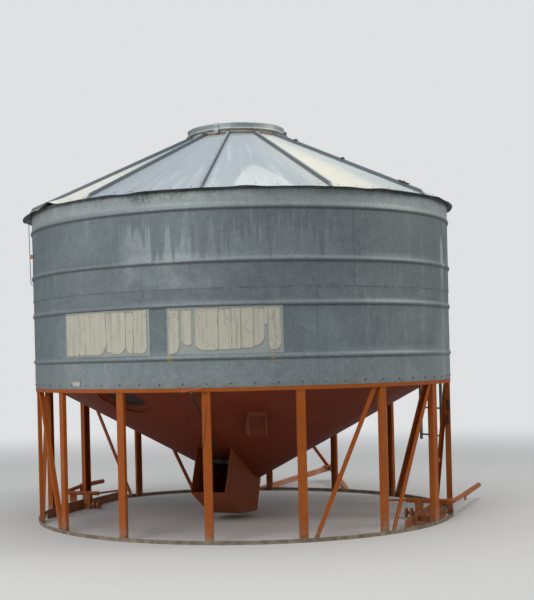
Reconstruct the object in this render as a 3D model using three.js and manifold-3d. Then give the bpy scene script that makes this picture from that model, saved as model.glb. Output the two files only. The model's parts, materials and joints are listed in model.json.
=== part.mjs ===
// A galvanised grain silo on sixteen channel legs, with a cone bottom, a discharge boot and a towing frame.
// Millimetres, +Z up, the origin on the ground under the middle of the whole object.
// Azimuths are in degrees from -Y (the discharge side) towards +X, heights are above the ground.

import * as THREE from 'three';
import { mergeVertices } from 'three/addons/utils/BufferGeometryUtils.js';
import Module from 'manifold-3d';

const wasm = await Module();
wasm.setup();

// Driving dimensions of the body
const SHELL_RADIUS = 2134;
const SHEET = 3;
const FIT_GAP = 0.3;
const FACET_STEP = 5;
const COARSE_STEP = 10;
const SWAGE_STEPS = 3;
const LAP_HEIGHT = 2228;
const LAP_DEPTH = 24;
const WALL_BOTTOM = 1363;
const SWAGE_HEIGHT = 52;
const SWAGE_PROUD = 13;
const LOWER_SWAGES = [1631, 2090];
const UPPER_SWAGES = [2474, 2935];
const SHEETS_PER_COURSE = 2;
const LOWER_SEAM_AZIMUTH = 40;
const UPPER_SEAM_AZIMUTH = 50;

// Roof and filling hole
const EAVE_RADIUS = 2194;
const EAVE_HEIGHT = 3092;
const ROOF_RISE = 0.463;
const ROOF_FIRST_RIB = 11.63;
const ROOF_RIB_SPACING = 30;
const PANELS_PER_PIECE = 4;
const ROOF_RIB_WIDTH = 44;
const ROOF_RIB_TOP_WIDTH = 26;
const ROOF_RIB_HEIGHT = 34;
const RIB_HEAD_SETBACK = 14;
const RIB_EAVE_SETBACK = 40;
const COLLAR_RADIUS = 470;
const COLLAR_WALL = 6;
const COLLAR_BOTTOM = 3850;
const ROOF_COLLAR_GAP = 0.9;
const ROOF_SEAT = 1.3;
const LID_RADIUS = 500;
const LID_WALL = 6;
const LID_SKIRT_BOTTOM = 3925;
const LID_TOP = 3990;
const LID_HINGE_AZIMUTH = 109;
const LID_HINGE_RADIUS = 518;
const LID_HINGE_HEIGHT = 3955;
const HINGE_EYE_RADIUS = 11;
const HINGE_PIN_RADIUS = 4.5;
const HINGE_EYE_PLAY = 1;
const HINGE_EYE_HALF_WIDTH = 13;
const HINGE_SIDE_PLAY = 5;
const HINGE_STRAP_HALF_WIDTH = 26;
const HINGE_STRAP_THICKNESS = 10;
const HINGE_STRAP_REACH = 750;
const HINGE_CHEEK_HALF_DEPTH = 12;
const LID_STRAP_AZIMUTH = -3;
const LID_STRAP_HALF_WIDTH = 22;
const LID_STRAP_INNER = 380;
const LID_STRAP_THICKNESS = 6;
const LID_STRAP_BOTTOM = 3888;

// Legs and rings
const LEG_COUNT = 16;
const FIRST_LEG_AZIMUTH = 11.25;
const LEG_SPACING = 360 / LEG_COUNT;
const LEG_FACE = 2127;
const LEG = { width: 76, depth: 38, wall: 6 };
const WHEEL_LEG = { width: 100, depth: 55, wall: 6 };
const WHEEL_LEGS = [4, 5, 12, 13];
const RING_BOTTOM = 1328;
const RING_TOP = 1450;
const RING_FLANGE = 63;
const RING_WALL = 6;
const BASE_RING_RADIUS = 2137;
const BASE_RING_HEIGHT = 35;
const BASE_RING_FLANGE = 52;
const BASE_RING_WALL = 5;
const BRACE_SIZE = 45;
const BRACE_WALL = 5;
const BRACE_RADIUS = 2116;
const BRACE_TOP_ASIDE = 90;
const BRACE_FOOT_ASIDE = 101;

// Hopper, boot and gate
const HOPPER_APEX = 278;
const HOPPER_RISE = 0.547;
const HOPPER_WALL = 4.6;
const OUTLET_HALF_WIDTH = 110;
const OUTLET_NEAR = 40;
const OUTLET_FAR = 430;
const BOOT_HALF_WIDTH = 180;
const BOOT_WALL = 5;
const BOOT_MOUTH_TOP = [-850, 745];
const BOOT_MOUTH_LIP = [-1040, 325];
const BOOT_FLOOR_FRONT = [-565, 72];
const BOOT_FLOOR_BACK = [-120, 45];
const BOOT_BACK_TOP = [12, 360];
const BOOT_HEAD_ROOM = 900;
const RUNNER_PLAY = 0.5;
const RUNNER_WALL = 6;
const RUNNER_FAR = 700;
const GATE_DROP = 16;
const GATE_WALL = 6;
const GATE_HALF_WIDTH = 150;
const GATE_NEAR = 48;
const GATE_FAR = 640;
const GATE_LIP = 32;
const RUNNER_SEAT = 22;
const GATE_LIP_INSET = 6;
const GATE_ROD_ASIDE = 20;
const GATE_ROD_RADIUS = 9;
const GATE_ROD_OUTER_END = [305, -2150, 1300];
const GATE_HANDLE_RADIUS = 13;
const GATE_HANDLE_ENDS = [[222, -2178, 1334], [410, -2152, 1358]];
const CHUTE_AZIMUTH = 24.8;
const CHUTE_FACE = 1516;
const CHUTE_WIDTH = 181;
const CHUTE_BOTTOM = 915;
const CHUTE_INNER = 980;
const CHUTE_RAIL = 20;
const CHUTE_RAIL_PROUD = 22;
const CHUTE_RAIL_RISE = 40;
const CHUTE_RAIL_DROP = 14;
const CHUTE_DOOR_THICKNESS = 10;
const MANHOLE_AZIMUTH = -19.4;
const MANHOLE_CENTRE = 1772;
const MANHOLE_RADIUS = 256.5;
const MANHOLE_WALL = 4.5;
const MANHOLE_STRAIGHT = 16;
const MANHOLE_RECESS = 62;
const MANHOLE_INNER_RADIUS = 212;
const MANHOLE_COVER_THICKNESS = 8;
const MANHOLE_LIP = 4;
const MANHOLE_SIDES = 36;

// Ladder, towing frame and wheel gear
const LADDER_AZIMUTH = 130.6;
const LADDER_RADIUS = 2230;
const LADDER_WIDTH = 440;
const LADDER_BOTTOM = 665;
const LADDER_TOP = 3070;
const LADDER_FIRST_RUNG = 722;
const LADDER_RUNG_SPACING = 300;
const LADDER_RUNG_RADIUS = 10;
const LADDER_STILE_WIDTH = 40;
const LADDER_STILE_DEPTH = 18;
const LADDER_RUNGS = 8;
const LADDER_BRACKETS = [1346, 2268, 3010];
const LADDER_BRACKET_HALF_WIDTH = 3;
const LADDER_BRACKET_HALF_HEIGHT = 15;
const HITCH_REACH = 3440;
const HITCH_HEIGHT = 192;
const DRAWBAR_FOOT = [600, 1975];
const DRAWBAR_FOOT_HEIGHT = 21;
const DRAWBAR_APEX = [10, 3370];
const DRAWBAR_DEPTH = 62;
const DRAWBAR_FLANGE = 50;
const HITCH_PLATE_LENGTH = 200;
const HITCH_PLATE_HALF_WIDTH = 80;
const HITCH_NOSE_HALF_WIDTH = 50;
const HITCH_PLATE_THICKNESS = 14;
const HITCH_PLATE_RISE = 6;
const STAY_WIDTH = 40;
const STAY_DEPTH = 24;
const STAY_FOOT = [34, 3330];
const STAY_HEAD_DROP = 30;
const STAY_OVERRUN = 60;
const TRAY_WALL_X = 1866;
const TRAY_WALL_HEIGHT = 90;
const TRAY_HALF_LENGTH = 850;
const TRAY_SHEET = 6;
const TRAY_OUTER_WALL_X = 2024;
const TRAY_OUTER_WALL_HALF_LENGTH = 330;
const TRAY_OUTER_WALL_HEIGHT = 70;
const TRAY_STOP_Y = -270;
const TRAY_STOP_THICKNESS = 8;
const TRAY_STOP_HEIGHT = 58;
const CROSS_BAR_HEIGHT = 170;
const CROSS_BAR_RADIUS = 22;
const CROSS_BAR_INNER_X = 1700;
const HANDLE_RADIUS = 11;
const HANDLE_PIN_RADIUS = 9;
const HANDLE_PIN_RISE = 75;
const POST_INNER_X = 1795;
const POST_HALF_WIDTH = 34;
const ROLLER_HEIGHT = 48;
const ROLLER_RADIUS = 46;
const ROLLER_THICKNESS = 22;
const ROLLERS_X = [1690, 1742];
const ROLLER_PIN_RADIUS = 16;
const SWING_ARM_X = 2155;
const SWING_ELBOW = 40;
const SWING_SLEEVE_LAP = 30;
const SWING_TAB = { from: -25, to: 55, drop: 62, halfThickness: 6 };
const SWING_SLEEVE_START = 0.45;
const RIGHT_ARM = { reach: 1720, height: 152, handleEnd: [1490, 0, 166] };
const LEFT_ARM = { reach: 1010, height: 198, handleEnd: [1475, 150, 196] };

// The bin's own axis, set back so that the origin lies under the middle of the whole object
const BIN_AXIS_Y = -(HITCH_REACH - EAVE_RADIUS) / 2;

function material(color, roughness, metalness) {
  return new THREE.MeshStandardMaterial({ color, roughness, metalness });
}

const wallZinc = material(0x8d989e, 0.5, 0.7);
const roofZinc = material(0xa9afb1, 0.45, 0.7);
const orangePaint = material(0x9a5428, 0.7, 0.1);
const hopperPaint = material(0x5a2a20, 0.75, 0.1);
const fadedPaint = material(0xb9755a, 0.8, 0.05);
const paleZinc = material(0xb7b2a6, 0.6, 0.5);
const darkSteel = material(0x3a3029, 0.7, 0.4);

const silo = new THREE.Group();
const bin = new THREE.Group();
bin.position.set(0, BIN_AXIS_Y, 0);
silo.add(bin);

const radians = THREE.MathUtils.degToRad;

function radial(azimuth) {
  const angle = radians(azimuth);
  return new THREE.Vector3(Math.sin(angle), -Math.cos(angle), 0);
}

function tangent(azimuth) {
  const angle = radians(azimuth);
  return new THREE.Vector3(Math.cos(angle), Math.sin(angle), 0);
}

function polar(radius, azimuth, height, aside = 0) {
  const point = radial(azimuth).multiplyScalar(radius).addScaledVector(tangent(azimuth), aside);
  point.z = height;
  return point;
}

// Height of the roof's upper face and of the hopper's lower face at a distance from the axis
const roofHeight = (radius) => EAVE_HEIGHT + (EAVE_RADIUS - radius) * ROOF_RISE;
const ROOF_DROP = SHEET * Math.hypot(1, ROOF_RISE);
const hopperHeight = (radius) => HOPPER_APEX + radius * HOPPER_RISE;

function place(name, geometry, finish, parent = bin) {
  const mesh = new THREE.Mesh(geometry, finish);
  mesh.name = name;
  parent.add(mesh);
  return mesh;
}

// Closed solid from a list of corners and faces, without faces that have shrunk to a line
function closedGeometry(corners, faces) {
  const geometry = new THREE.BufferGeometry();
  const numbers = corners.flatMap((corner) => corner.toArray());
  geometry.setAttribute('position', new THREE.Float32BufferAttribute(numbers, 3));
  geometry.setIndex(faces.flat());
  const merged = mergeVertices(geometry, 1e-3);
  const kept = [];
  const index = merged.index.array;
  for (let i = 0; i < index.length; i += 3) {
    const [a, b, c] = [index[i], index[i + 1], index[i + 2]];
    if (a !== b && b !== c && c !== a) kept.push(a, b, c);
  }
  merged.setIndex(kept);
  merged.computeVertexNormals();
  return merged;
}

// Skin over a row of like sections, whose corners run anticlockwise when seen against the row's direction.
// The end faces are triangles of corner numbers; a row that closes on itself has none.
function loft(sections, endFaces, whole = false) {
  const count = sections[0].length;
  const spans = whole ? sections.length : sections.length - 1;
  const faces = [];
  for (let row = 0; row < spans; row += 1) {
    const here = row * count;
    const next = ((row + 1) % sections.length) * count;
    for (let i = 0; i < count; i += 1) {
      const j = (i + 1) % count;
      faces.push([here + i, next + i, next + j], [here + i, next + j, here + j]);
    }
  }
  const last = spans * count;
  for (const [a, b, c] of endFaces) faces.push([a, b, c], [last + a, last + c, last + b]);
  return closedGeometry(sections.flat(), faces);
}

// Profile of [radius, height] corners, anticlockwise, swept about the axis from one azimuth to another
function revolve(profile, from = 0, to = 360, step = FACET_STEP) {
  const spans = Math.round((to - from) / step);
  const whole = to - from >= 360;
  const sections = [];
  for (let row = 0; row < spans + (whole ? 0 : 1); row += 1) {
    const azimuth = from + ((to - from) * row) / spans;
    sections.push(profile.map(([radius, height]) => polar(radius, azimuth, height)));
  }
  const flat = profile.map(([radius, height]) => new THREE.Vector2(radius, height));
  const endFaces = whole ? [] : THREE.ShapeUtils.triangulateShape(flat, []);
  return loft(sections, endFaces, whole);
}

// Outline of [across, up] corners extruded along its own normal and carried to a place by three axes
function prism(outline, depth, origin, across, up) {
  const shape = new THREE.Shape(outline.map(([x, y]) => new THREE.Vector2(x, y)));
  const geometry = new THREE.ExtrudeGeometry(shape, { depth, bevelEnabled: false });
  const normal = new THREE.Vector3().crossVectors(across, up);
  const matrix = new THREE.Matrix4().makeBasis(across, up, normal);
  matrix.setPosition(origin);
  return geometry.applyMatrix4(matrix);
}

// Box between two opposite corners, in the bin's own axes
function block(low, high) {
  const size = high.map((value, i) => value - low[i]);
  const middle = high.map((value, i) => (value + low[i]) / 2);
  return new THREE.BoxGeometry(...size).translate(...middle);
}

// Box at an azimuth: a stretch of radius, a stretch to the side and a stretch of height
function polarBlock(azimuth, radii, sides, heights) {
  const outline = [
    [sides[0], radii[0]],
    [sides[1], radii[0]],
    [sides[1], radii[1]],
    [sides[0], radii[1]],
  ];
  const origin = new THREE.Vector3(0, 0, heights[1]);
  return prism(outline, heights[1] - heights[0], origin, tangent(azimuth), radial(azimuth));
}

// Round bar between two points, tapered if the far end has a radius of its own
function rod(from, to, radius, sides = 10, farRadius = radius) {
  const start = new THREE.Vector3(...from);
  const end = new THREE.Vector3(...to);
  const along = end.clone().sub(start);
  const geometry = new THREE.CylinderGeometry(farRadius, radius, along.length(), sides);
  const turn = new THREE.Quaternion().setFromUnitVectors(new THREE.Vector3(0, 1, 0), along.clone().normalize());
  geometry.applyQuaternion(turn);
  const middle = start.add(end).multiplyScalar(0.5);
  return geometry.translate(middle.x, middle.y, middle.z);
}

// Bar of a given outline from one point to another, its second axis turned towards a given side
function bar(outline, from, to, side) {
  const along = to.clone().sub(from);
  const length = along.length();
  along.normalize();
  const across = new THREE.Vector3().crossVectors(side, along).normalize();
  const up = new THREE.Vector3().crossVectors(along, across);
  return prism(outline, length, from, across, up);
}

const angleOutline = (size, wall) => [[0, 0], [size, 0], [size, wall], [wall, wall], [wall, size], [0, size]];
const boxOutline = (width, height) => [
  [-width / 2, -height / 2],
  [width / 2, -height / 2],
  [width / 2, height / 2],
  [-width / 2, height / 2],
];

function solidOf(geometry) {
  const bare = geometry.clone();
  bare.deleteAttribute('normal');
  bare.deleteAttribute('uv');
  const merged = mergeVertices(bare, 1e-3);
  return new wasm.Manifold(
    new wasm.Mesh({
      numProp: 3,
      vertProperties: merged.attributes.position.array,
      triVerts: Uint32Array.from(merged.index.array),
    }),
  );
}

function geometryOf(solid) {
  const mesh = solid.getMesh();
  const geometry = new THREE.BufferGeometry();
  geometry.setAttribute('position', new THREE.Float32BufferAttribute(mesh.vertProperties, 3));
  geometry.setIndex(new THREE.Uint32BufferAttribute(mesh.triVerts, 1));
  geometry.computeVertexNormals();
  return geometry;
}

const joined = (geometries) => geometries.map(solidOf).reduce((sum, solid) => sum.add(solid));

// Rings, legs and braces
function baseRing() {
  const outer = BASE_RING_RADIUS;
  const inner = outer - BASE_RING_FLANGE;
  const upright = outer - BASE_RING_WALL;
  const profile = [
    [inner, 0],
    [outer, 0],
    [outer, BASE_RING_HEIGHT],
    [upright, BASE_RING_HEIGHT],
    [upright, BASE_RING_WALL],
    [inner, BASE_RING_WALL],
  ];
  place('base_ring', revolve(profile), paleZinc);
}

function ringBeam() {
  const behindWall = SHELL_RADIUS - SHEET - FIT_GAP;
  const upright = behindWall - RING_WALL;
  const lipTop = WALL_BOTTOM - FIT_GAP;
  const flangeTop = RING_BOTTOM + RING_WALL;
  const inner = upright - RING_FLANGE;
  const profile = [
    [inner, RING_BOTTOM],
    [SHELL_RADIUS, RING_BOTTOM],
    [SHELL_RADIUS, lipTop],
    [behindWall, lipTop],
    [behindWall, RING_TOP],
    [upright, RING_TOP],
    [upright, flangeTop],
    [inner, flangeTop],
  ];
  place('ring_beam', revolve(profile), orangePaint);
}

const legBottom = BASE_RING_WALL + FIT_GAP;
const legTop = RING_BOTTOM - FIT_GAP;
const legAzimuth = (number) => FIRST_LEG_AZIMUTH + (number - 1) * LEG_SPACING;

// Channel leg with its web outwards; the legs beside the wheel gear are a size larger
function leg(number) {
  const { width, depth, wall } = WHEEL_LEGS.includes(number) ? WHEEL_LEG : LEG;
  const half = width / 2;
  const back = LEG_FACE - depth;
  const web = LEG_FACE - wall;
  const channel = [
    [-half, back],
    [wall - half, back],
    [wall - half, web],
    [half - wall, web],
    [half - wall, back],
    [half, back],
    [half, LEG_FACE],
    [-half, LEG_FACE],
  ];
  const azimuth = legAzimuth(number);
  const origin = new THREE.Vector3(0, 0, legTop);
  const geometry = prism(channel, legTop - legBottom, origin, tangent(azimuth), radial(azimuth));
  place(`leg_${number}`, geometry, orangePaint);
}

// Angle brace beside the head of one leg down to a place beside the foot of the next
function brace(name, topLeg, footLeg) {
  const topAzimuth = legAzimuth(topLeg);
  const footAzimuth = legAzimuth(footLeg);
  const side = Math.sign(footAzimuth - topAzimuth);
  const top = polar(BRACE_RADIUS, topAzimuth, RING_BOTTOM, side * BRACE_TOP_ASIDE);
  const foot = polar(BRACE_RADIUS, footAzimuth, 0, -side * BRACE_FOOT_ASIDE);
  const overrun = foot.clone().sub(top).setLength(BRACE_SIZE);
  const inward = radial((topAzimuth + footAzimuth) / 2).negate();
  const outline = angleOutline(BRACE_SIZE, BRACE_WALL).map(([x, y]) => [x - BRACE_SIZE / 2, y]);
  const angle = bar(outline, top.sub(overrun), foot.add(overrun), inward);
  const band = block([-SHELL_RADIUS, -SHELL_RADIUS, legBottom], [SHELL_RADIUS, SHELL_RADIUS, legTop]);
  place(name, geometryOf(solidOf(angle).intersect(solidOf(band))), orangePaint);
}

function legsAndBraces() {
  for (let number = 1; number <= LEG_COUNT; number += 1) leg(number);
  const braced = [[3, 2], [4, 3], [5, 6], [6, 7]];
  braced.forEach(([top, foot], i) => {
    brace(`brace_right_${i + 1}`, top, foot);
    const mirror = (number) => LEG_COUNT + 1 - number;
    brace(`brace_left_${i + 1}`, mirror(top), mirror(foot));
  });
}

// Wall courses of swaged sheets
function swage(radius, middle, outwards) {
  const points = [];
  const steps = SWAGE_STEPS;
  for (let i = 0; i <= steps; i += 1) {
    const turn = (Math.PI * i) / steps;
    points.push([radius + SWAGE_PROUD * Math.sin(turn), middle - (SWAGE_HEIGHT / 2) * Math.cos(turn)]);
  }
  return outwards ? points : points.reverse();
}

function wallCourse(name, radius, bottom, top, swages, seamAzimuth) {
  const inner = radius - SHEET;
  const outerFace = swages.flatMap((middle) => swage(radius, middle, true));
  const innerFace = [...swages].reverse().flatMap((middle) => swage(inner, middle, false));
  const profile = [[inner, bottom], [radius, bottom], ...outerFace, [radius, top], [inner, top], ...innerFace];
  const span = 360 / SHEETS_PER_COURSE;
  const seamGap = THREE.MathUtils.radToDeg(FIT_GAP / radius);
  for (let i = 0; i < SHEETS_PER_COURSE; i += 1) {
    const from = seamAzimuth + i * span;
    place(`${name}_${i + 1}`, revolve(profile, from, from + span - seamGap), wallZinc);
  }
}

function walls() {
  const upperRadius = SHELL_RADIUS + SHEET + FIT_GAP;
  const wallTop = roofHeight(upperRadius) - ROOF_DROP - ROOF_SEAT;
  const lapTop = LAP_HEIGHT + LAP_DEPTH;
  wallCourse('lower_wall_sheet', SHELL_RADIUS, WALL_BOTTOM, lapTop, LOWER_SWAGES, LOWER_SEAM_AZIMUTH);
  wallCourse('upper_wall_sheet', upperRadius, LAP_HEIGHT, wallTop, UPPER_SWAGES, UPPER_SEAM_AZIMUTH);
}

// Roof pieces, each a row of panels with a standing rib over every joint
function roofUp(azimuth) {
  const down = radial(azimuth).setZ(-ROOF_RISE).normalize();
  return new THREE.Vector3().crossVectors(down, tangent(azimuth));
}

// Upper face of a roof piece in a section across it: [azimuth, aside, height above the panel]
function roofSection(from, ribHeight) {
  const half = ROOF_RIB_WIDTH / 2;
  const halfTop = ROOF_RIB_TOP_WIDTH / 2;
  const points = [];
  for (let panel = 0; panel < PANELS_PER_PIECE; panel += 1) {
    const rib = from + panel * ROOF_RIB_SPACING;
    points.push([rib, -half, 0], [rib, -halfTop, ribHeight], [rib, halfTop, ribHeight], [rib, half, 0]);
    for (let past = FACET_STEP; past < ROOF_RIB_SPACING; past += FACET_STEP) points.push([rib + past, 0, 0]);
  }
  points.push([from + PANELS_PER_PIECE * ROOF_RIB_SPACING, -half - FIT_GAP, 0]);
  return points;
}

function roofPiece(number) {
  const from = ROOF_FIRST_RIB + (number - 1) * PANELS_PER_PIECE * ROOF_RIB_SPACING;
  const inner = COLLAR_RADIUS + ROOF_COLLAR_GAP;
  const stations = [
    [inner, 0],
    [inner + RIB_HEAD_SETBACK, ROOF_RIB_HEIGHT],
    [EAVE_RADIUS - RIB_EAVE_SETBACK, ROOF_RIB_HEIGHT],
    [EAVE_RADIUS, 0],
  ];
  const sections = stations.map(([radius, ribHeight]) => {
    const points = roofSection(from, ribHeight);
    const upper = points.map(([azimuth, aside, height]) =>
      polar(radius, azimuth, roofHeight(radius), aside).addScaledVector(roofUp(azimuth), height),
    );
    const under = roofHeight(radius) - ROOF_DROP;
    const lower = points.map(([azimuth, aside]) => polar(radius, azimuth, under, aside));
    return [...upper, ...lower.reverse()];
  });
  const count = sections[0].length;
  const endFaces = [];
  for (let i = 0; i < count / 2 - 1; i += 1) {
    endFaces.push([i, i + 1, count - 2 - i], [i, count - 2 - i, count - 1 - i]);
  }
  place(`roof_sheet_${number}`, loft(sections, endFaces), roofZinc);
}

function roof() {
  const pieces = 360 / ROOF_RIB_SPACING / PANELS_PER_PIECE;
  for (let number = 1; number <= pieces; number += 1) roofPiece(number);
}

// Filling collar, lid and its hinge
function collar() {
  const inner = COLLAR_RADIUS - COLLAR_WALL;
  const top = LID_TOP - LID_WALL - FIT_GAP;
  const profile = [[inner, COLLAR_BOTTOM], [COLLAR_RADIUS, COLLAR_BOTTOM], [COLLAR_RADIUS, top], [inner, top]];
  const offset = ROOF_FIRST_RIB;
  place('filling_collar', revolve(profile, offset, offset + 360, COARSE_STEP), roofZinc);
}

// Point on the lid's hinge line
const hingePoint = (aside) => polar(LID_HINGE_RADIUS, LID_HINGE_AZIMUTH, LID_HINGE_HEIGHT, aside).toArray();

function lid() {
  const innerSkirt = LID_RADIUS - LID_WALL;
  const plate = LID_TOP - LID_WALL;
  const profile = [
    [0, plate],
    [innerSkirt, plate],
    [innerSkirt, LID_SKIRT_BOTTOM],
    [LID_RADIUS, LID_SKIRT_BOTTOM],
    [LID_RADIUS, LID_TOP],
    [0, LID_TOP],
  ];
  const pan = revolve(profile, 0, 360, COARSE_STEP);
  const half = HINGE_EYE_HALF_WIDTH;
  const rooted = LID_RADIUS - LID_WALL / 2;
  const lugHeights = [LID_HINGE_HEIGHT - HINGE_EYE_RADIUS, LID_HINGE_HEIGHT + HINGE_EYE_RADIUS];
  const lug = polarBlock(LID_HINGE_AZIMUTH, [rooted, LID_HINGE_RADIUS], [-half, half], lugHeights);
  const eye = rod(hingePoint(-half), hingePoint(half), HINGE_EYE_RADIUS, 16);
  const hole = rod(hingePoint(-2 * half), hingePoint(2 * half), HINGE_PIN_RADIUS + HINGE_EYE_PLAY, 16);
  const strapSides = [-LID_STRAP_HALF_WIDTH, LID_STRAP_HALF_WIDTH];
  const strapTop = LID_TOP + LID_STRAP_THICKNESS;
  const strapOuter = LID_RADIUS + LID_STRAP_THICKNESS + 2;
  const strap = [
    polarBlock(LID_STRAP_AZIMUTH, [LID_STRAP_INNER, strapOuter], strapSides, [LID_TOP - 1, strapTop]),
    polarBlock(LID_STRAP_AZIMUTH, [rooted, strapOuter], strapSides, [LID_STRAP_BOTTOM, strapTop]),
  ];
  const solid = joined([pan, lug, eye, ...strap]).subtract(solidOf(hole));
  place('filling_lid', geometryOf(solid), roofZinc);
}

// Flat bar down the roof, with two cheeks and the pin that the lid's eye turns on
function lidHinge() {
  const foot = LID_HINGE_RADIUS - HINGE_CHEEK_HALF_DEPTH - 1;
  const half = HINGE_STRAP_HALF_WIDTH;
  const lift = HINGE_STRAP_THICKNESS / 2 + FIT_GAP;
  const up = roofUp(LID_HINGE_AZIMUTH);
  const onRoof = (radius) => polar(radius, LID_HINGE_AZIMUTH, roofHeight(radius)).addScaledVector(up, lift);
  const strap = bar(boxOutline(2 * half, HINGE_STRAP_THICKNESS), onRoof(foot), onRoof(HINGE_STRAP_REACH), up);
  const cheekRadii = [LID_HINGE_RADIUS - HINGE_CHEEK_HALF_DEPTH, LID_HINGE_RADIUS + HINGE_CHEEK_HALF_DEPTH];
  const cheekHeights = [roofHeight(cheekRadii[1]) + HINGE_STRAP_THICKNESS / 3, LID_HINGE_HEIGHT];
  const pieces = [strap, rod(hingePoint(-half), hingePoint(half), HINGE_PIN_RADIUS, 16)];
  const near = HINGE_EYE_HALF_WIDTH + HINGE_SIDE_PLAY;
  for (const sides of [[-half, -near], [near, half]]) {
    pieces.push(polarBlock(LID_HINGE_AZIMUTH, cheekRadii, sides, cheekHeights));
    pieces.push(rod(hingePoint(sides[0]), hingePoint(sides[1]), HINGE_CHEEK_HALF_DEPTH, 16));
  }
  const underRoof = [
    [0, EAVE_HEIGHT - 100],
    [EAVE_RADIUS, EAVE_HEIGHT - 100],
    [EAVE_RADIUS, EAVE_HEIGHT + FIT_GAP],
    [0, roofHeight(0) + FIT_GAP],
  ];
  const roofBody = revolve(underRoof, ROOF_FIRST_RIB, ROOF_FIRST_RIB + 360);
  place('lid_hinge', geometryOf(joined(pieces).subtract(solidOf(roofBody))), paleZinc);
}

// Hopper cone, discharge boot and slide gate
function aboveHopper(clearance) {
  const wide = SHELL_RADIUS + 100;
  const profile = [
    [0, HOPPER_APEX - clearance],
    [wide, hopperHeight(wide) - clearance],
    [wide, EAVE_HEIGHT],
    [0, EAVE_HEIGHT],
  ];
  return solidOf(revolve(profile));
}

function hopper() {
  const rim = SHELL_RADIUS - SHEET - 2 * FIT_GAP - RING_WALL;
  const profile = [
    [0, HOPPER_APEX],
    [rim, hopperHeight(rim)],
    [rim, hopperHeight(rim) + HOPPER_WALL],
    [0, HOPPER_APEX + HOPPER_WALL],
  ];
  const cone = solidOf(revolve(profile));
  const outletHeights = [HOPPER_APEX - 50, hopperHeight(OUTLET_FAR) + 50];
  const outlet = block(
    [-OUTLET_HALF_WIDTH, -OUTLET_FAR, outletHeights[0]],
    [OUTLET_HALF_WIDTH, -OUTLET_NEAR, outletHeights[1]],
  );
  const hole = rod(manholePoint(-200), manholePoint(100), MANHOLE_RADIUS + FIT_GAP, MANHOLE_SIDES);
  place('hopper_cone', geometryOf(cone.subtract(solidOf(outlet)).subtract(solidOf(hole))), hopperPaint);
}

// Side view outlines of the boot are [y, z] points and run along X when extruded
function sidePrism(points, halfWidth) {
  const flipped = points.map(([y, z]) => new THREE.Vector2(y, z));
  const ordered = THREE.ShapeUtils.isClockWise(flipped) ? [...points].reverse() : points;
  return prism(ordered, 2 * halfWidth, new THREE.Vector3(-halfWidth, 0, 0),
    new THREE.Vector3(0, 1, 0), new THREE.Vector3(0, 0, 1));
}

// Line moved to its left by a distance, in a side view
function movedLine(from, to, distance) {
  const direction = new THREE.Vector2(to[0] - from[0], to[1] - from[1]).normalize();
  const shift = [-direction.y * distance, direction.x * distance];
  return [from, to].map(([y, z]) => [y + shift[0], z + shift[1]]);
}

// Point of a line at a share of its length, also beyond its ends
const alongLine = ([a, b], share) => [a[0] + share * (b[0] - a[0]), a[1] + share * (b[1] - a[1])];

function crossing([a, b], [c, d]) {
  const r = [b[0] - a[0], b[1] - a[1]];
  const s = [d[0] - c[0], d[1] - c[1]];
  const share = ((c[0] - a[0]) * s[1] - (c[1] - a[1]) * s[0]) / (r[0] * s[1] - r[1] * s[0]);
  return alongLine([a, b], share);
}

const gateAngle = Math.atan(HOPPER_RISE);
const gateTop = (distance) => hopperHeight(distance) - GATE_DROP;

// Side view of a strip under the cone between two distances from the axis
function slopingStrip(near, far, topHeight, thickness) {
  return [
    [-near, topHeight(near)],
    [-far, topHeight(far)],
    [-far, topHeight(far) - thickness],
    [-near, topHeight(near) - thickness],
  ];
}

function boot() {
  const tall = BOOT_HEAD_ROOM;
  const outer = [BOOT_MOUTH_TOP, BOOT_MOUTH_LIP, BOOT_FLOOR_FRONT, BOOT_FLOOR_BACK, BOOT_BACK_TOP];
  outer.push([BOOT_BACK_TOP[0], tall], [BOOT_MOUTH_TOP[0], tall]);
  const apron = movedLine(BOOT_MOUTH_LIP, BOOT_FLOOR_FRONT, BOOT_WALL);
  const floor = movedLine(BOOT_FLOOR_FRONT, BOOT_FLOOR_BACK, BOOT_WALL);
  const back = movedLine(BOOT_FLOOR_BACK, BOOT_BACK_TOP, BOOT_WALL);
  const beyondLip = alongLine(apron, -0.4);
  const backTop = [BOOT_BACK_TOP[0] - BOOT_WALL, back[1][1]];
  const above = tall + 50;
  const inner = [beyondLip, crossing(apron, floor), crossing(floor, back), backTop];
  inner.push([backTop[0], above], [beyondLip[0], above]);
  const hollow = solidOf(sidePrism(inner, BOOT_HALF_WIDTH - BOOT_WALL));
  const shell = solidOf(sidePrism(outer, BOOT_HALF_WIDTH)).subtract(hollow);
  const runnerTop = (distance) => gateTop(distance) - (GATE_WALL + RUNNER_PLAY) / Math.cos(gateAngle);
  const runner = slopingStrip(GATE_NEAR + 10, RUNNER_FAR, runnerTop, RUNNER_WALL);
  const between = GATE_HALF_WIDTH - RUNNER_SEAT;
  const middle = block([-between, -RUNNER_FAR - 50, 0], [between, 0, tall]);
  const runners = solidOf(sidePrism(runner, BOOT_HALF_WIDTH - BOOT_WALL / 2)).subtract(solidOf(middle));
  place('discharge_boot', geometryOf(shell.add(runners).subtract(aboveHopper(FIT_GAP))), hopperPaint);
}

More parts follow.
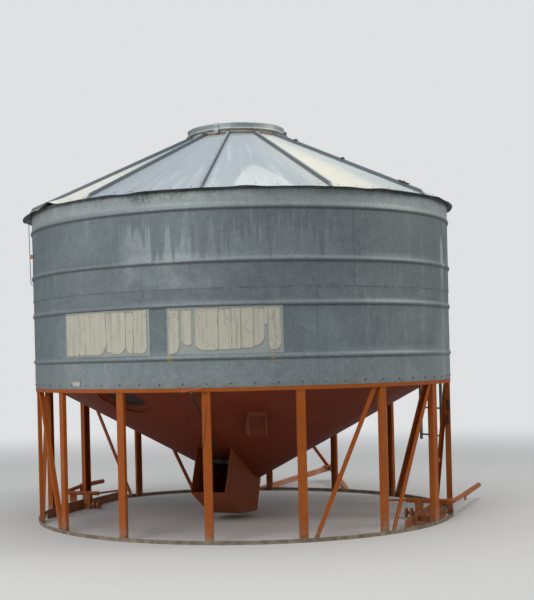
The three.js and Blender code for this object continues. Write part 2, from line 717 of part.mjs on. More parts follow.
function gate() {
  const thick = GATE_WALL / Math.cos(gateAngle);
  const lipFar = GATE_FAR + GATE_WALL;
  const plate = slopingStrip(GATE_NEAR, lipFar, gateTop, thick);
  const lip = slopingStrip(GATE_FAR, lipFar, (distance) => gateTop(distance) - 1, thick + GATE_LIP);
  const lipMiddle = [GATE_ROD_ASIDE, -GATE_FAR, gateTop(GATE_FAR) - thick - GATE_LIP / 2];
  const rodEnd = GATE_ROD_OUTER_END;
  const handleMiddle = GATE_HANDLE_ENDS[0].map((value, i) => (value + GATE_HANDLE_ENDS[1][i]) / 2);
  const pieces = [
    sidePrism(plate, GATE_HALF_WIDTH),
    sidePrism(lip, GATE_HALF_WIDTH - RUNNER_SEAT - GATE_LIP_INSET),
    rod(lipMiddle, rodEnd, GATE_ROD_RADIUS, 10),
    new THREE.SphereGeometry(GATE_ROD_RADIUS * 1.15, 10, 8).translate(...rodEnd),
    rod(rodEnd, handleMiddle, GATE_ROD_RADIUS, 10),
    rod(GATE_HANDLE_ENDS[0], GATE_HANDLE_ENDS[1], GATE_HANDLE_RADIUS, 12),
  ];
  place('gate_slide', geometryOf(joined(pieces)), darkSteel);
}

// Bagging chute and manhole on the cone
function chute() {
  const half = CHUTE_WIDTH / 2;
  const face = CHUTE_FACE;
  const top = hopperHeight(face) - 6;
  const railRadii = [face - 2, face + CHUTE_RAIL_PROUD];
  const railTop = hopperHeight(railRadii[1]) + CHUTE_RAIL_RISE;
  const railHeights = [CHUTE_BOTTOM - CHUTE_RAIL_DROP, railTop];
  const piece = (radii, sides, heights) => polarBlock(CHUTE_AZIMUTH, radii, sides, heights);
  const pieces = [
    piece([CHUTE_INNER, face], [-half, half], [CHUTE_BOTTOM, railTop]),
    piece(railRadii, [-half, CHUTE_RAIL - half], railHeights),
    piece(railRadii, [half - CHUTE_RAIL, half], railHeights),
    piece(railRadii, [-half, half], [top - CHUTE_RAIL, railTop]),
  ];
  place('bagging_chute', geometryOf(joined(pieces).subtract(aboveHopper(FIT_GAP))), hopperPaint);
  const doorHalf = half - CHUTE_RAIL - FIT_GAP;
  const doorRadii = [face + FIT_GAP, face + CHUTE_DOOR_THICKNESS];
  const doorHeights = [CHUTE_BOTTOM - CHUTE_RAIL_DROP / 2, top - CHUTE_RAIL - FIT_GAP];
  place('bagging_chute_door', piece(doorRadii, [-doorHalf, doorHalf], doorHeights), hopperPaint);
}

// Point on the manhole's axis, at a depth under the cone's outer face; inside the cone it is negative
function manholePoint(depth) {
  const outwards = radial(MANHOLE_AZIMUTH).multiplyScalar(HOPPER_RISE).setZ(-1).normalize();
  const centre = polar(MANHOLE_CENTRE, MANHOLE_AZIMUTH, hopperHeight(MANHOLE_CENTRE));
  return centre.addScaledVector(outwards, depth).toArray();
}

// Dish let into the cone, its cover across the narrow inner end
function manhole() {
  const beyond = 30;
  const sides = MANHOLE_SIDES;
  const bore = MANHOLE_RADIUS - MANHOLE_WALL;
  const [inside, bend, outside] = [-MANHOLE_RECESS, -MANHOLE_STRAIGHT, beyond].map(manholePoint);
  const outer = joined([
    rod(inside, bend, MANHOLE_INNER_RADIUS + MANHOLE_WALL, sides, MANHOLE_RADIUS),
    rod(bend, outside, MANHOLE_RADIUS, sides),
  ]);
  const hollow = joined([
    rod(manholePoint(-MANHOLE_RECESS - beyond), inside, MANHOLE_INNER_RADIUS, sides),
    rod(inside, bend, MANHOLE_INNER_RADIUS, sides, bore),
    rod(bend, manholePoint(2 * beyond), bore, sides),
  ]);
  const rim = outer.subtract(hollow).intersect(aboveHopper(MANHOLE_LIP));
  place('manhole_rim', geometryOf(rim), hopperPaint);
  const coverEnds = [1 - MANHOLE_RECESS, 1 - MANHOLE_RECESS + MANHOLE_COVER_THICKNESS].map(manholePoint);
  place('manhole_cover', rod(...coverEnds, MANHOLE_INNER_RADIUS, sides), darkSteel);
}

// Ladder on the wall, each stile held off it by three flat brackets
function ladderStile(name, side) {
  const middle = (side * LADDER_WIDTH) / 2;
  const radii = [LADDER_RADIUS - LADDER_STILE_DEPTH / 2, LADDER_RADIUS + LADDER_STILE_DEPTH / 2];
  const sides = [middle - LADDER_STILE_WIDTH / 2, middle + LADDER_STILE_WIDTH / 2];
  const pieces = [polarBlock(LADDER_AZIMUTH, radii, sides, [LADDER_BOTTOM, LADDER_TOP])];
  const bracketRadii = [SHELL_RADIUS - 50, LADDER_RADIUS];
  const bracketSides = [middle - LADDER_BRACKET_HALF_WIDTH, middle + LADDER_BRACKET_HALF_WIDTH];
  for (const height of LADDER_BRACKETS) {
    const heights = [height - LADDER_BRACKET_HALF_HEIGHT, height + LADDER_BRACKET_HALF_HEIGHT];
    pieces.push(polarBlock(LADDER_AZIMUTH, bracketRadii, bracketSides, heights));
  }
  const lowerRadius = SHELL_RADIUS + FIT_GAP;
  const upperRadius = lowerRadius + SHEET + FIT_GAP;
  const wall = [
    [0, 0],
    [lowerRadius, 0],
    [lowerRadius, LAP_HEIGHT - FIT_GAP],
    [upperRadius, LAP_HEIGHT - FIT_GAP],
    [upperRadius, EAVE_HEIGHT],
    [0, EAVE_HEIGHT],
  ];
  place(name, geometryOf(joined(pieces).subtract(solidOf(revolve(wall)))), wallZinc);
}

function ladder() {
  ladderStile('ladder_stile_front', -1);
  ladderStile('ladder_stile_back', 1);
  const reach = (LADDER_WIDTH - LADDER_STILE_WIDTH) / 2 - FIT_GAP;
  for (let number = 1; number <= LADDER_RUNGS; number += 1) {
    const height = LADDER_FIRST_RUNG + (number - 1) * LADDER_RUNG_SPACING;
    const end = (aside) => polar(LADDER_RADIUS, LADDER_AZIMUTH, height, aside).toArray();
    place(`ladder_rung_${number}`, rod(end(-reach), end(reach), LADDER_RUNG_RADIUS, 12), wallZinc);
  }
}

// Towing frame beyond the base ring, and its two stays
function drawbar() {
  const middle = DRAWBAR_DEPTH / 2;
  const outline = boxOutline(DRAWBAR_FLANGE, DRAWBAR_DEPTH);
  const upwards = new THREE.Vector3(0, 0, 1);
  const pieces = [-1, 1].map((side) => {
    const foot = new THREE.Vector3(side * DRAWBAR_FOOT[0], DRAWBAR_FOOT[1], DRAWBAR_FOOT_HEIGHT - middle);
    const apex = new THREE.Vector3(side * DRAWBAR_APEX[0], DRAWBAR_APEX[1], HITCH_HEIGHT - middle);
    return bar(outline, foot, apex, upwards);
  });
  const plate = [
    [-HITCH_PLATE_HALF_WIDTH, HITCH_REACH - HITCH_PLATE_LENGTH],
    [HITCH_PLATE_HALF_WIDTH, HITCH_REACH - HITCH_PLATE_LENGTH],
    [HITCH_NOSE_HALF_WIDTH, HITCH_REACH],
    [-HITCH_NOSE_HALF_WIDTH, HITCH_REACH],
  ];
  const plateBottom = new THREE.Vector3(0, 0, HITCH_HEIGHT + HITCH_PLATE_RISE - HITCH_PLATE_THICKNESS);
  const [alongX, alongY] = [new THREE.Vector3(1, 0, 0), new THREE.Vector3(0, 1, 0)];
  pieces.push(prism(plate, HITCH_PLATE_THICKNESS, plateBottom, alongX, alongY));
  const ringRadius = BASE_RING_RADIUS + FIT_GAP;
  const inRing = solidOf(revolve([[0, -200], [ringRadius, -200], [ringRadius, 400], [0, 400]]));
  const underground = solidOf(block([-1000, 1500, -200], [1000, HITCH_REACH + 100, 0]));
  place('towing_frame', geometryOf(joined(pieces).subtract(inRing).subtract(underground)), fadedPaint);
}

// Flat bar from the head of a leg down to the hitch plate
function drawbarStay(name, side) {
  const azimuth = side * (180 - FIRST_LEG_AZIMUTH);
  const head = polar(LEG_FACE + STAY_DEPTH / 2, azimuth, RING_BOTTOM - STAY_HEAD_DROP);
  const plateTop = HITCH_HEIGHT + HITCH_PLATE_RISE + FIT_GAP;
  const foot = new THREE.Vector3(side * STAY_FOOT[0], STAY_FOOT[1], plateTop);
  const overrun = foot.clone().sub(head).setLength(STAY_OVERRUN);
  const outline = boxOutline(STAY_WIDTH, STAY_DEPTH);
  const stay = solidOf(bar(outline, head.clone().sub(overrun), foot.clone().add(overrun), radial(azimuth)));
  const legRadii = [LEG_FACE - LEG.depth, LEG_FACE + FIT_GAP];
  const behindLeg = solidOf(polarBlock(azimuth, legRadii, [-LEG.width, LEG.width], [0, RING_TOP]));
  const underPlate = solidOf(block([-200, LEG_FACE, 0], [200, HITCH_REACH, plateTop]));
  const ring = solidOf(block([-1000, 0, RING_BOTTOM - FIT_GAP], [1000, HITCH_REACH, RING_TOP + 100]));
  place(name, geometryOf(stay.subtract(behindLeg).subtract(underPlate).subtract(ring)), orangePaint);
}

// Side trays and swing arms of the removable wheel gear, one of each on both sides
function mirroredIf(geometry, side) {
  if (side > 0) return geometry;
  const mirrored = geometry.clone().scale(-1, 1, 1);
  const index = mirrored.index.array;
  for (let i = 0; i < index.length; i += 3) [index[i + 1], index[i + 2]] = [index[i + 2], index[i + 1]];
  mirrored.computeVertexNormals();
  return mirrored;
}

function sideTray(name, side) {
  const [wallX, outerX] = [TRAY_WALL_X, TRAY_OUTER_WALL_X];
  const [length, outerLength] = [TRAY_HALF_LENGTH, TRAY_OUTER_WALL_HALF_LENGTH];
  const stopEnd = TRAY_STOP_Y + TRAY_STOP_THICKNESS;
  const pieces = [
    block([wallX, -length, 0], [wallX + TRAY_SHEET, length, TRAY_WALL_HEIGHT]),
    block([wallX, -length, 0], [BASE_RING_RADIUS, length, TRAY_SHEET]),
    block([outerX, -outerLength, 0], [outerX + TRAY_SHEET, outerLength, TRAY_OUTER_WALL_HEIGHT]),
    block([wallX + TRAY_SHEET / 2, TRAY_STOP_Y, 0], [outerX + TRAY_SHEET / 2, stopEnd, TRAY_STOP_HEIGHT]),
  ];
  const insideLegs = LEG_FACE - WHEEL_LEG.depth - FIT_GAP;
  const room = solidOf(revolve([[0, -10], [insideLegs, -10], [insideLegs, 300], [0, 300]]));
  place(name, mirroredIf(geometryOf(joined(pieces).intersect(room)), side), orangePaint);
}

// Cross bar on a post and a tab, with rollers, a handle rod, and the arm folded back along the base ring
function swingArm(name, side, { reach, height, handleEnd }) {
  const barZ = CROSS_BAR_HEIGHT;
  const armX = SWING_ARM_X;
  const barEnd = [armX - SWING_ELBOW, 0, barZ];
  const elbow = [armX, SWING_ELBOW, barZ - 4];
  const sleeve = reach * SWING_SLEEVE_START;
  const ball = new THREE.SphereGeometry(CROSS_BAR_RADIUS * 1.04, 8, 6);
  const pinFoot = [handleEnd[0] + HANDLE_PIN_RADIUS, handleEnd[1], handleEnd[2] - 5];
  const pinHead = [pinFoot[0], pinFoot[1], pinFoot[2] + HANDLE_PIN_RISE];
  const tab = SWING_TAB;
  const pieces = [
    rod([CROSS_BAR_INNER_X, 0, barZ], barEnd, CROSS_BAR_RADIUS),
    ball.clone().translate(...barEnd),
    rod(barEnd, elbow, CROSS_BAR_RADIUS),
    ball.clone().translate(...elbow),
    rod(elbow, [armX, sleeve + SWING_SLEEVE_LAP, height], CROSS_BAR_RADIUS),
    rod([armX, sleeve, height], [armX, reach, height - 4], CROSS_BAR_RADIUS + 4),
    block(
      [armX - tab.halfThickness, sleeve + tab.from, height - tab.drop],
      [armX + tab.halfThickness, sleeve + tab.to, height],
    ),
    rod(handleEnd, [CROSS_BAR_INNER_X + 20, 0, barZ], HANDLE_RADIUS),
    rod(pinFoot, pinHead, HANDLE_PIN_RADIUS),
    block([POST_INNER_X, -POST_HALF_WIDTH, 0], [TRAY_WALL_X - FIT_GAP, POST_HALF_WIDTH, barZ]),
    rod([CROSS_BAR_INNER_X, 0, ROLLER_HEIGHT], [POST_INNER_X + 5, 0, ROLLER_HEIGHT], ROLLER_PIN_RADIUS, 8),
    block([TRAY_OUTER_WALL_X - 50, -6, TRAY_OUTER_WALL_HEIGHT + FIT_GAP], [TRAY_OUTER_WALL_X + 38, 6, barZ]),
  ];
  for (const x of ROLLERS_X) {
    pieces.push(rod([x, 0, ROLLER_HEIGHT], [x + ROLLER_THICKNESS, 0, ROLLER_HEIGHT], ROLLER_RADIUS, 16));
  }
  place(name, mirroredIf(geometryOf(joined(pieces)), side), orangePaint);
}

baseRing();
legsAndBraces();
ringBeam();
hopper();
boot();
gate();
chute();
manhole();
walls();
roof();
collar();
lid();
lidHinge();
ladder();
drawbar();
for (const [name, side, arm] of [['right', 1, RIGHT_ARM], ['left', -1, LEFT_ARM]]) {
  drawbarStay(`towing_stay_${name}`, side);
  sideTray(`side_tray_${name}`, side);
  swingArm(`swing_arm_${name}`, side, arm);
}

export default silo;
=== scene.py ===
import json
import math

import bpy
import bmesh
from bpy.props import FloatProperty, FloatVectorProperty, IntProperty, PointerProperty
from mathutils import Matrix, Vector, noise

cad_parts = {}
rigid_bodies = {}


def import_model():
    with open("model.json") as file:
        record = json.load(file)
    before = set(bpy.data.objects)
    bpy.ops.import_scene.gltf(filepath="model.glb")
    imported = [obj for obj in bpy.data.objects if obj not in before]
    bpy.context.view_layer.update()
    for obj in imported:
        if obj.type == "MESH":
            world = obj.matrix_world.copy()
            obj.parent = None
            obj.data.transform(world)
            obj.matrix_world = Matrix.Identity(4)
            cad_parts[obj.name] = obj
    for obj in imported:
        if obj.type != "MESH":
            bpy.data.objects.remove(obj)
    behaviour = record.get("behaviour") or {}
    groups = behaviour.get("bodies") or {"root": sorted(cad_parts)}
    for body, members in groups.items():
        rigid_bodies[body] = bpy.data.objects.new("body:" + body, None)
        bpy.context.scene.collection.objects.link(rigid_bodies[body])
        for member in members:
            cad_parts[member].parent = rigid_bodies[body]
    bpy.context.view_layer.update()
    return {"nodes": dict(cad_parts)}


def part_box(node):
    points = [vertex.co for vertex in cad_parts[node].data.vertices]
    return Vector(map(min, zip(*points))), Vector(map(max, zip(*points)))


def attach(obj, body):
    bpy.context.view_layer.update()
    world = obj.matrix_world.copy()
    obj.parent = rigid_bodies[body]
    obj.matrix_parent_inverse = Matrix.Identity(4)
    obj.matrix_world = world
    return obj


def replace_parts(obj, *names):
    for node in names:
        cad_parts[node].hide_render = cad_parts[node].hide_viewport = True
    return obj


for leftover in list(bpy.data.objects):
    bpy.data.objects.remove(leftover)
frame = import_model()

bl_info = {
    "name": "Grain silo looks",
    "version": (1, 0, 0),
    "blender": (4, 5, 0),
    "location": "3D View > Sidebar > Silo",
    "description": "Sheets, fastenings, flaking panels, paint and dust of a small cone bottom grain silo",
    "category": "Object",
}

MM = 0.001
UP = Vector((0, 0, 1))
STILL = "silo"


def spread(*nodes):
    """Lowest and highest corner of several CAD nodes together."""
    boxes = [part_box(node) for node in nodes]
    low = Vector([min(box[0][i] for box in boxes) for i in range(3)])
    high = Vector([max(box[1][i] for box in boxes) for i in range(3)])
    return low, high


# The wall
LOWER_LOW, LOWER_HIGH = spread("lower_wall_sheet_1", "lower_wall_sheet_2")
UPPER_LOW, UPPER_HIGH = spread("upper_wall_sheet_1", "upper_wall_sheet_2")
AXIS = Vector(((LOWER_LOW.x + LOWER_HIGH.x) / 2, (LOWER_LOW.y + LOWER_HIGH.y) / 2, 0))
TOUCH = 0.3 * MM
SHEET = 3 * MM
COURSE_STEP = SHEET + TOUCH
SWAGE_PROUD = 13 * MM
SWAGE_HEIGHT = 52 * MM
# Place of a swage's crest above its middle, as a share of half its height
SWAGE_CREST = -0.3
SHELL_RADIUS = 2134 * MM
WALL_FOOT = LOWER_LOW.z
LAP_BOTTOM = UPPER_LOW.z
LAP_TOP = LOWER_HIGH.z
WALL_HEAD = UPPER_HIGH.z
LOWER_SWAGES = (1631 * MM, 2090 * MM)
UPPER_SWAGES = (2474 * MM, 2935 * MM)
SWAGES = (*LOWER_SWAGES, *UPPER_SWAGES)
# Azimuth of each course's first seam, in degrees
LOWER_SEAM = 40
UPPER_SEAM = 50

# The roof
EAVE_RADIUS = 2194 * MM
EAVE_HEIGHT = 3092 * MM
ROOF_RISE = 0.463
ROOF_SLOPE = math.hypot(1, ROOF_RISE)
# Azimuth of the first rib and the step from rib to rib, in degrees
FIRST_RIB = 11.63
RIB_SPACING = 30
PANELS_PER_SHEET = 4
RIB_HALF = 15 * MM
RIB_TOP_HALF = 8 * MM
RIB_HEIGHT = 34 * MM
RIB_HEAD_SETBACK = 14 * MM
RIB_EAVE_SETBACK = 40 * MM
COLLAR_RADIUS = 470 * MM
ROOF_INNER = COLLAR_RADIUS + 0.9 * MM
LID_RADIUS = 500 * MM
LID_FOOT = 3920 * MM
LID_TOP = 3990 * MM

# Steps of the sheets' meshes: round half the wall, up each stretch of it, across a roof panel, down the roof
ROUND_STEPS = 144
UP_STEPS = 8
PANEL_STEPS = 20
ROOF_STEPS = 22

# The eave's damage: a corner curled up, and a stretch pushed out and down. Places and widths are in degrees
CURL_AZIMUTH = -35
CURL_WIDTH = 3.2
CURL_RISE = 34 * MM
LIP_AZIMUTH = -64
LIP_WIDTH = 11
LIP_DEPTH = 140 * MM
LIP_OUT = 36 * MM
LIP_DROP = 8 * MM

# The frame
LEG_COUNT = 16
LEG_SPACING = 360 / LEG_COUNT
LEG_FACE = 2127 * MM
LEG_WIDTH = 76 * MM
WHEEL_LEG_WIDTH = 100 * MM
WHEEL_LEGS = (4, 5, 12, 13)
LEG_MIDDLE = LEG_FACE - 22 * MM
RING_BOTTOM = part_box("ring_beam")[0].z

# Profiles of small fastenings as (radius, height), in shares of their size
WASHER = ((0.85, -0.05), (0.85, 0.1), (0.782, 0.16))
HEXAGON = ((0.577, 0.1), (0.577, 0.6), (0.4731, 0.72))
ROUND_HEAD = ((1, -0.1), (1, 0.18), (0.62, 0.3), (0.55, 0.6), (0.32, 0.75))


def tone(red, green, blue):
    """Linear colour of a screen colour given from 0 to 255."""
    return tuple(((value / 255 + 0.055) / 1.055) ** 2.4 for value in (red, green, blue)) + (1.0,)


def outward(azimuth):
    """Direction away from the bin's axis. Azimuths are in degrees from -Y towards +X."""
    turn = math.radians(azimuth)
    return Vector((math.sin(turn), -math.cos(turn), 0))


def along(azimuth):
    """Direction round the bin, towards growing azimuth."""
    turn = math.radians(azimuth)
    return Vector((math.cos(turn), math.sin(turn), 0))


def polar(azimuth, radius, height, aside=0.0):
    """Point at a radius and height, moved sideways round the bin."""
    return AXIS + outward(azimuth) * radius + along(azimuth) * aside + UP * height


def leg_azimuth(number):
    """Azimuth of a leg, counted from 1."""
    return (number - 0.5) * LEG_SPACING


def stations(edges, steps):
    """Places from the first edge to the last, with equal steps from each edge to the next."""
    places = [edges[0]]
    for start, end in zip(edges, edges[1:]):
        places += [start + (end - start) * k / steps for k in range(1, steps + 1)]
    return places


def wave(value, *terms):
    """Sum of sines, each given as (amplitude, turns, phase)."""
    return sum(size * math.sin(turns * value + phase) for size, turns, phase in terms)


def bell(azimuth, middle, width):
    """1 at the middle azimuth, falling off smoothly over a width."""
    off = (azimuth - middle + 180) % 360 - 180
    return math.exp(-(off / width) ** 2)


def wall_dent(azimuth, height):
    """Shallow buckles of the thin wall sheet between its swages."""
    stiff = (WALL_FOOT, *LOWER_SWAGES, LAP_BOTTOM, *UPPER_SWAGES, WALL_HEAD)
    for low, high in zip(stiff, stiff[1:]):
        if low <= height <= high:
            share = math.sin(math.pi * (height - low) / (high - low)) ** 2
            turn = math.radians(azimuth)
            return share * wave(turn, (0.0016, 7, 2.1 * height), (0.0011, 13, 1.3 + height), (0.0008, 23, 4))
    return 0.0


def swage_rise(height):
    """How far a swage stands proud at a height."""
    for middle in SWAGES:
        off = (height - middle) / (SWAGE_HEIGHT / 2) - SWAGE_CREST
        if -1 - SWAGE_CREST < off < 0:
            return SWAGE_PROUD * math.sqrt(math.cos(off / (1 + SWAGE_CREST) * math.pi / 2))
        if 0 <= off < 1 - SWAGE_CREST:
            return SWAGE_PROUD * math.cos(off / (1 - SWAGE_CREST) * math.pi / 2) ** 1.3
    return 0.0


def wall_radius(azimuth, height):
    """Outer face of the wall, without its swages."""
    course = COURSE_STEP if height > LAP_BOTTOM else 0.0
    return SHELL_RADIUS + course + wall_dent(azimuth, height)


def wall_seat(azimuth, height):
    """Point on the outer face of the wall."""
    return polar(azimuth, wall_radius(azimuth, height) + swage_rise(height), height)


def roof_height(radius):
    """Height of the roof at a radius, without its buckles."""
    return EAVE_HEIGHT + (EAVE_RADIUS - radius) * ROOF_RISE


def roof_dent(azimuth, radius):
    """Buckles of the roof panels, widest at the eave and none at the ribs, and the curled corner."""
    across = ((azimuth - FIRST_RIB) % RIB_SPACING) / RIB_SPACING
    free = math.sin(math.pi * across) ** 2
    reach = (radius - COLLAR_RADIUS) / (EAVE_RADIUS - COLLAR_RADIUS)
    turn = math.radians(azimuth)
    swell = wave(turn, (0.004, 19, 0.6), (0.0035, 31, 2.2), (0.003, 43, 5 * radius)) * free * reach
    return swell + CURL_RISE * bell(azimuth, CURL_AZIMUTH, CURL_WIDTH) * max(0.0, (reach - 0.9) / 0.1)


def roof_surface(azimuth, radius, aside=0.0):
    """Upper face of the roof, whose eave is bent out at one side."""
    lip = bell(azimuth, LIP_AZIMUTH, LIP_WIDTH) * max(0.0, (radius - EAVE_RADIUS + LIP_DEPTH) / LIP_DEPTH)
    height = roof_height(radius) + roof_dent(azimuth, radius) - LIP_DROP * lip
    return polar(azimuth, radius + LIP_OUT * lip, height, aside)


def roof_up(azimuth):
    """Direction straight out of the roof."""
    return (outward(azimuth) * ROOF_RISE + UP) / ROOF_SLOPE


def roof_down(azimuth):
    """Direction down the roof."""
    return (outward(azimuth) - UP * ROOF_RISE) / ROOF_SLOPE


def circle(middle, side, other, radius, sides, turn=0.0):
    """Points round a middle, in the plane of two directions."""
    angles = [turn + math.tau * k / sides for k in range(sides)]
    return [middle + (side * math.cos(angle) + other * math.sin(angle)) * radius for angle in angles]


def skin(places, thickness):
    """Section of a sheet: its outer face through places (azimuth, radius, height), then its inner face."""
    outer = [polar(azimuth, radius, height) for azimuth, radius, height in places]
    inner = [polar(azimuth, radius - thickness, height) for azimuth, radius, height in places]
    return outer + inner[::-1]


class Shape:
    """Closed solids gathered for one mesh."""

    def __init__(self):
        self.points = []
        self.faces = []

    def loft(self, rings, closed=False):
        """Joins rings of points into a solid, with end faces unless it closes on itself."""
        count = len(rings[0])
        starts = [len(self.points) + i * count for i in range(len(rings))]
        for ring in rings:
            self.points.extend(ring)
        for here, there in zip(starts, starts[1:] + starts[:1] if closed else starts[1:]):
            for j in range(count):
                k = (j + 1) % count
                self.faces.append((here + j, here + k, there + k, there + j))
        if not closed:
            self.faces += [tuple(start + j for j in range(count)) for start in (starts[0], starts[-1])]

    def turned(self, seat, axis, profile, sides, size=1.0, turn=0.0):
        """A solid of revolution on a seat: profile is (radius, height along the axis), times the size."""
        axis = axis.normalized()
        side = axis.orthogonal().normalized()
        other = axis.cross(side)
        rings = []
        for radius, rise in profile:
            rings.append(circle(seat + axis * rise * size, side, other, radius * size, sides, turn))
        self.loft(rings)

    def tube(self, path, radius, sides=8, closed=False):
        """A round bar along a path."""
        rings = []
        # No path runs along this direction
        level = Vector((0.13, 0.21, 1)).normalized()
        for i, point in enumerate(path):
            before = path[i - 1] if i or closed else path[0]
            after = path[(i + 1) % len(path)] if closed or i + 1 < len(path) else path[-1]
            ahead = (after - before).normalized()
            side = ahead.cross(level).normalized()
            rings.append(circle(point, side, ahead.cross(side), radius, sides))
        self.loft(rings, closed)

    def block(self, middle, axes, size, cut):
        """A box with chamfered edges along the third axis: size is the full lengths along the three axes."""
        a, b, c = (axis.normalized() for axis in axes)
        x, y, z = (length / 2 for length in size)
        outline = [(-x + cut, -y), (x - cut, -y), (x, -y + cut), (x, y - cut)]
        outline += [(x - cut, y), (-x + cut, y), (-x, y - cut), (-x, -y + cut)]
        self.loft([[middle + a * u + b * v + c * w for u, v in outline] for w in (-z, z)])

    def hex_bolt(self, seat, axis, size, turn=0.0):
        """Washer and hexagon head of a bolt whose head is size across."""
        self.turned(seat, axis, WASHER, 12, size)
        self.turned(seat, axis, HEXAGON, 6, size, turn)

    def round_screw(self, seat, axis, size):
        """Low round head of a screw, on a washer whose radius is the size."""
        self.turned(seat, axis, ROUND_HEAD, 10, size)

    def build(self, name, finish, body=STILL, smooth=35):
        """The finished object, riding on a body."""
        mesh = bpy.data.meshes.new(name)
        mesh.from_pydata([tuple(point) for point in self.points], [], self.faces)
        shell = bmesh.new()
        shell.from_mesh(mesh)
        bmesh.ops.recalc_face_normals(shell, faces=shell.faces)
        shell.to_mesh(mesh)
        shell.free()
        return finished(name, mesh, finish, body, smooth)


def finished(name, mesh, finish, body, smooth):
    """Makes an object of a mesh, shades its round faces smooth and lets it ride on a body."""
    mesh.shade_smooth()
    mesh.set_sharp_from_angle(angle=math.radians(smooth))
    mesh.materials.clear()
    mesh.materials.append(bpy.data.materials[finish])
    piece = bpy.data.objects.new(name, mesh)
    bpy.context.scene.collection.objects.link(piece)
    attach(piece, body)
    return piece


def softened(node, finish, edge=1.5 * MM, smooth=32, body=STILL):
    """A copy of a CAD node with its seams welded, round faces shaded smooth and edges eased, shown for it."""
    source = frame["nodes"][node].data
    slot = source.materials[0].name.split(".")[0]
    mesh = bpy.data.meshes.new(f"eased_{node}")
    mesh.from_pydata([tuple(v.co) for v in source.vertices], [], [tuple(p.vertices) for p in source.polygons])
    shell = bmesh.new()
    shell.from_mesh(mesh)
    bmesh.ops.remove_doubles(shell, verts=shell.verts, dist=0.02 * MM)
    bmesh.ops.dissolve_limit(
        shell, angle_limit=math.radians(0.6), verts=shell.verts, edges=shell.edges, delimit={"NORMAL"}
    )
    shell.to_mesh(mesh)
    shell.free()
    piece = finished(f"eased_{node}", mesh, finish, body, smooth)
    if edge:
        bevel = piece.modifiers.new("eased edges", "BEVEL")
        bevel.width = edge
        bevel.segments = 2
        bevel.limit_method = "ANGLE"
        bevel.angle_limit = math.radians(40)
        bevel.harden_normals = True
        bevel.use_clamp_overlap = True
    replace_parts(piece, node)


class Value:
    """An output of a node. Sums, products and steps of it are nodes as well."""

    def __init__(self, tree, socket):
        self.tree = tree
        self.socket = socket

    def __add__(self, other):
        return self.tree.math("ADD", self, other)

    def __sub__(self, other):
        return self.tree.math("SUBTRACT", self, other)

    def __rsub__(self, other):
        return self.tree.math("SUBTRACT", other, self)

    def __mul__(self, other):
        return self.tree.math("MULTIPLY", self, other)

    def __rtruediv__(self, other):
        return self.tree.math("DIVIDE", other, self)

    def __abs__(self):
        return self.tree.math("ABSOLUTE", self)

    def either(self, other):
        """The larger of two values."""
        return self.tree.math("MAXIMUM", self, other)

    def step(self, low, high, start=0.0, end=1.0):
        """Smooth step from start at low to end at high, which may lie below low."""
        inputs = {"Value": self, "From Min": low, "From Max": high, "To Min": start, "To Max": end}
        return self.tree.node("ShaderNodeMapRange", 0, inputs, interpolation_type="SMOOTHSTEP")

    def band(self, low, high, blur):
        """1 between low and high, falling off over blur."""
        rising = self.step(low - blur, low + blur)
        falling = self.step(high - blur, high + blur)
        return self.tree.math("SUBTRACT", rising, falling, clamp=True)


class Tree:
    """Short calls for the nodes that the finishes are made of."""

    def __init__(self, tree):
        self.tree = tree

    def add(self, kind, inputs=(), **settings):
        """A new node with its settings made and its inputs fed."""
        made = self.tree.nodes.new(kind)
        for name, value in settings.items():
            setattr(made, name, value)
        for socket, value in dict(inputs).items():
            self.feed(made.inputs[socket], value)
        return made

    def values(self, made):
        return [Value(self, socket) for socket in made.outputs]

    def feed(self, socket, value):
        """Links a value to a socket, or sets a plain number, vector or colour on it."""
        if isinstance(value, Value):
            self.tree.links.new(value.socket, socket)
        elif socket.type == "VECTOR":
            socket.default_value = tuple(value)[:3]
        else:
            socket.default_value = value

    def node(self, kind, output, inputs=(), **settings):
        """One output of a new node."""
        return Value(self, self.add(kind, inputs, **settings).outputs[output])

    def math(self, operation, first, second=0.0, clamp=False):
        return self.node("ShaderNodeMath", 0, {0: first, 1: second}, operation=operation, use_clamp=clamp)

    def vector(self, operation, first, second):
        return self.node("ShaderNodeVectorMath", 0, {0: first, 1: second}, operation=operation)

    def place(self):
        return self.node("ShaderNodeTexCoord", "Object")

    def stretched(self, across, down):
        """The place, scaled one way across and another way down."""
        return self.vector("MULTIPLY", self.place(), (across, across, down))

    def split(self, vector):
        """The three parts of a vector."""
        return self.values(self.add("ShaderNodeSeparateXYZ", {0: vector}))

    def height(self):
        return self.split(self.place())[2]

    def facing_up(self):
        """How far a face looks up, from -1 to 1."""
        return self.split(self.node("ShaderNodeNewGeometry", "Normal"))[2]

    def combine(self, x, y, z=0.0):
        return self.node("ShaderNodeCombineXYZ", 0, {"X": x, "Y": y, "Z": z})

    def noise(self, scale, detail=4.0, rough=0.55, distort=0.0, at=None):
        inputs = {"Vector": at or self.place(), "Scale": scale, "Detail": detail, "Roughness": rough,
                  "Distortion": distort}
        return self.node("ShaderNodeTexNoise", "Fac", inputs)

    def mix(self, factor, first, second):
        return self.node("ShaderNodeMix", 2, {0: factor, 6: first, 7: second}, data_type="RGBA")

    def scaled(self, color, factor):
        """A colour made darker or lighter by a factor that may change over the surface."""
        return self.node("ShaderNodeVectorMath", 0, {0: color, "Scale": factor}, operation="SCALE")

    def group(self, name, **inputs):
        """The outputs of a shared effect, or its only one."""
        outputs = self.values(self.add("ShaderNodeGroup", inputs, node_tree=bpy.data.node_groups[name]))
        return outputs if len(outputs) > 1 else outputs[0]

    def patches(self, scale, cover, softness, seed):
        return self.group("patches", Scale=scale, Cover=cover, Softness=softness, Seed=seed)

    def streaks(self, width, length, cover, seed):
        return self.group("streaks", Width=width, Length=length, Cover=cover, Seed=seed)


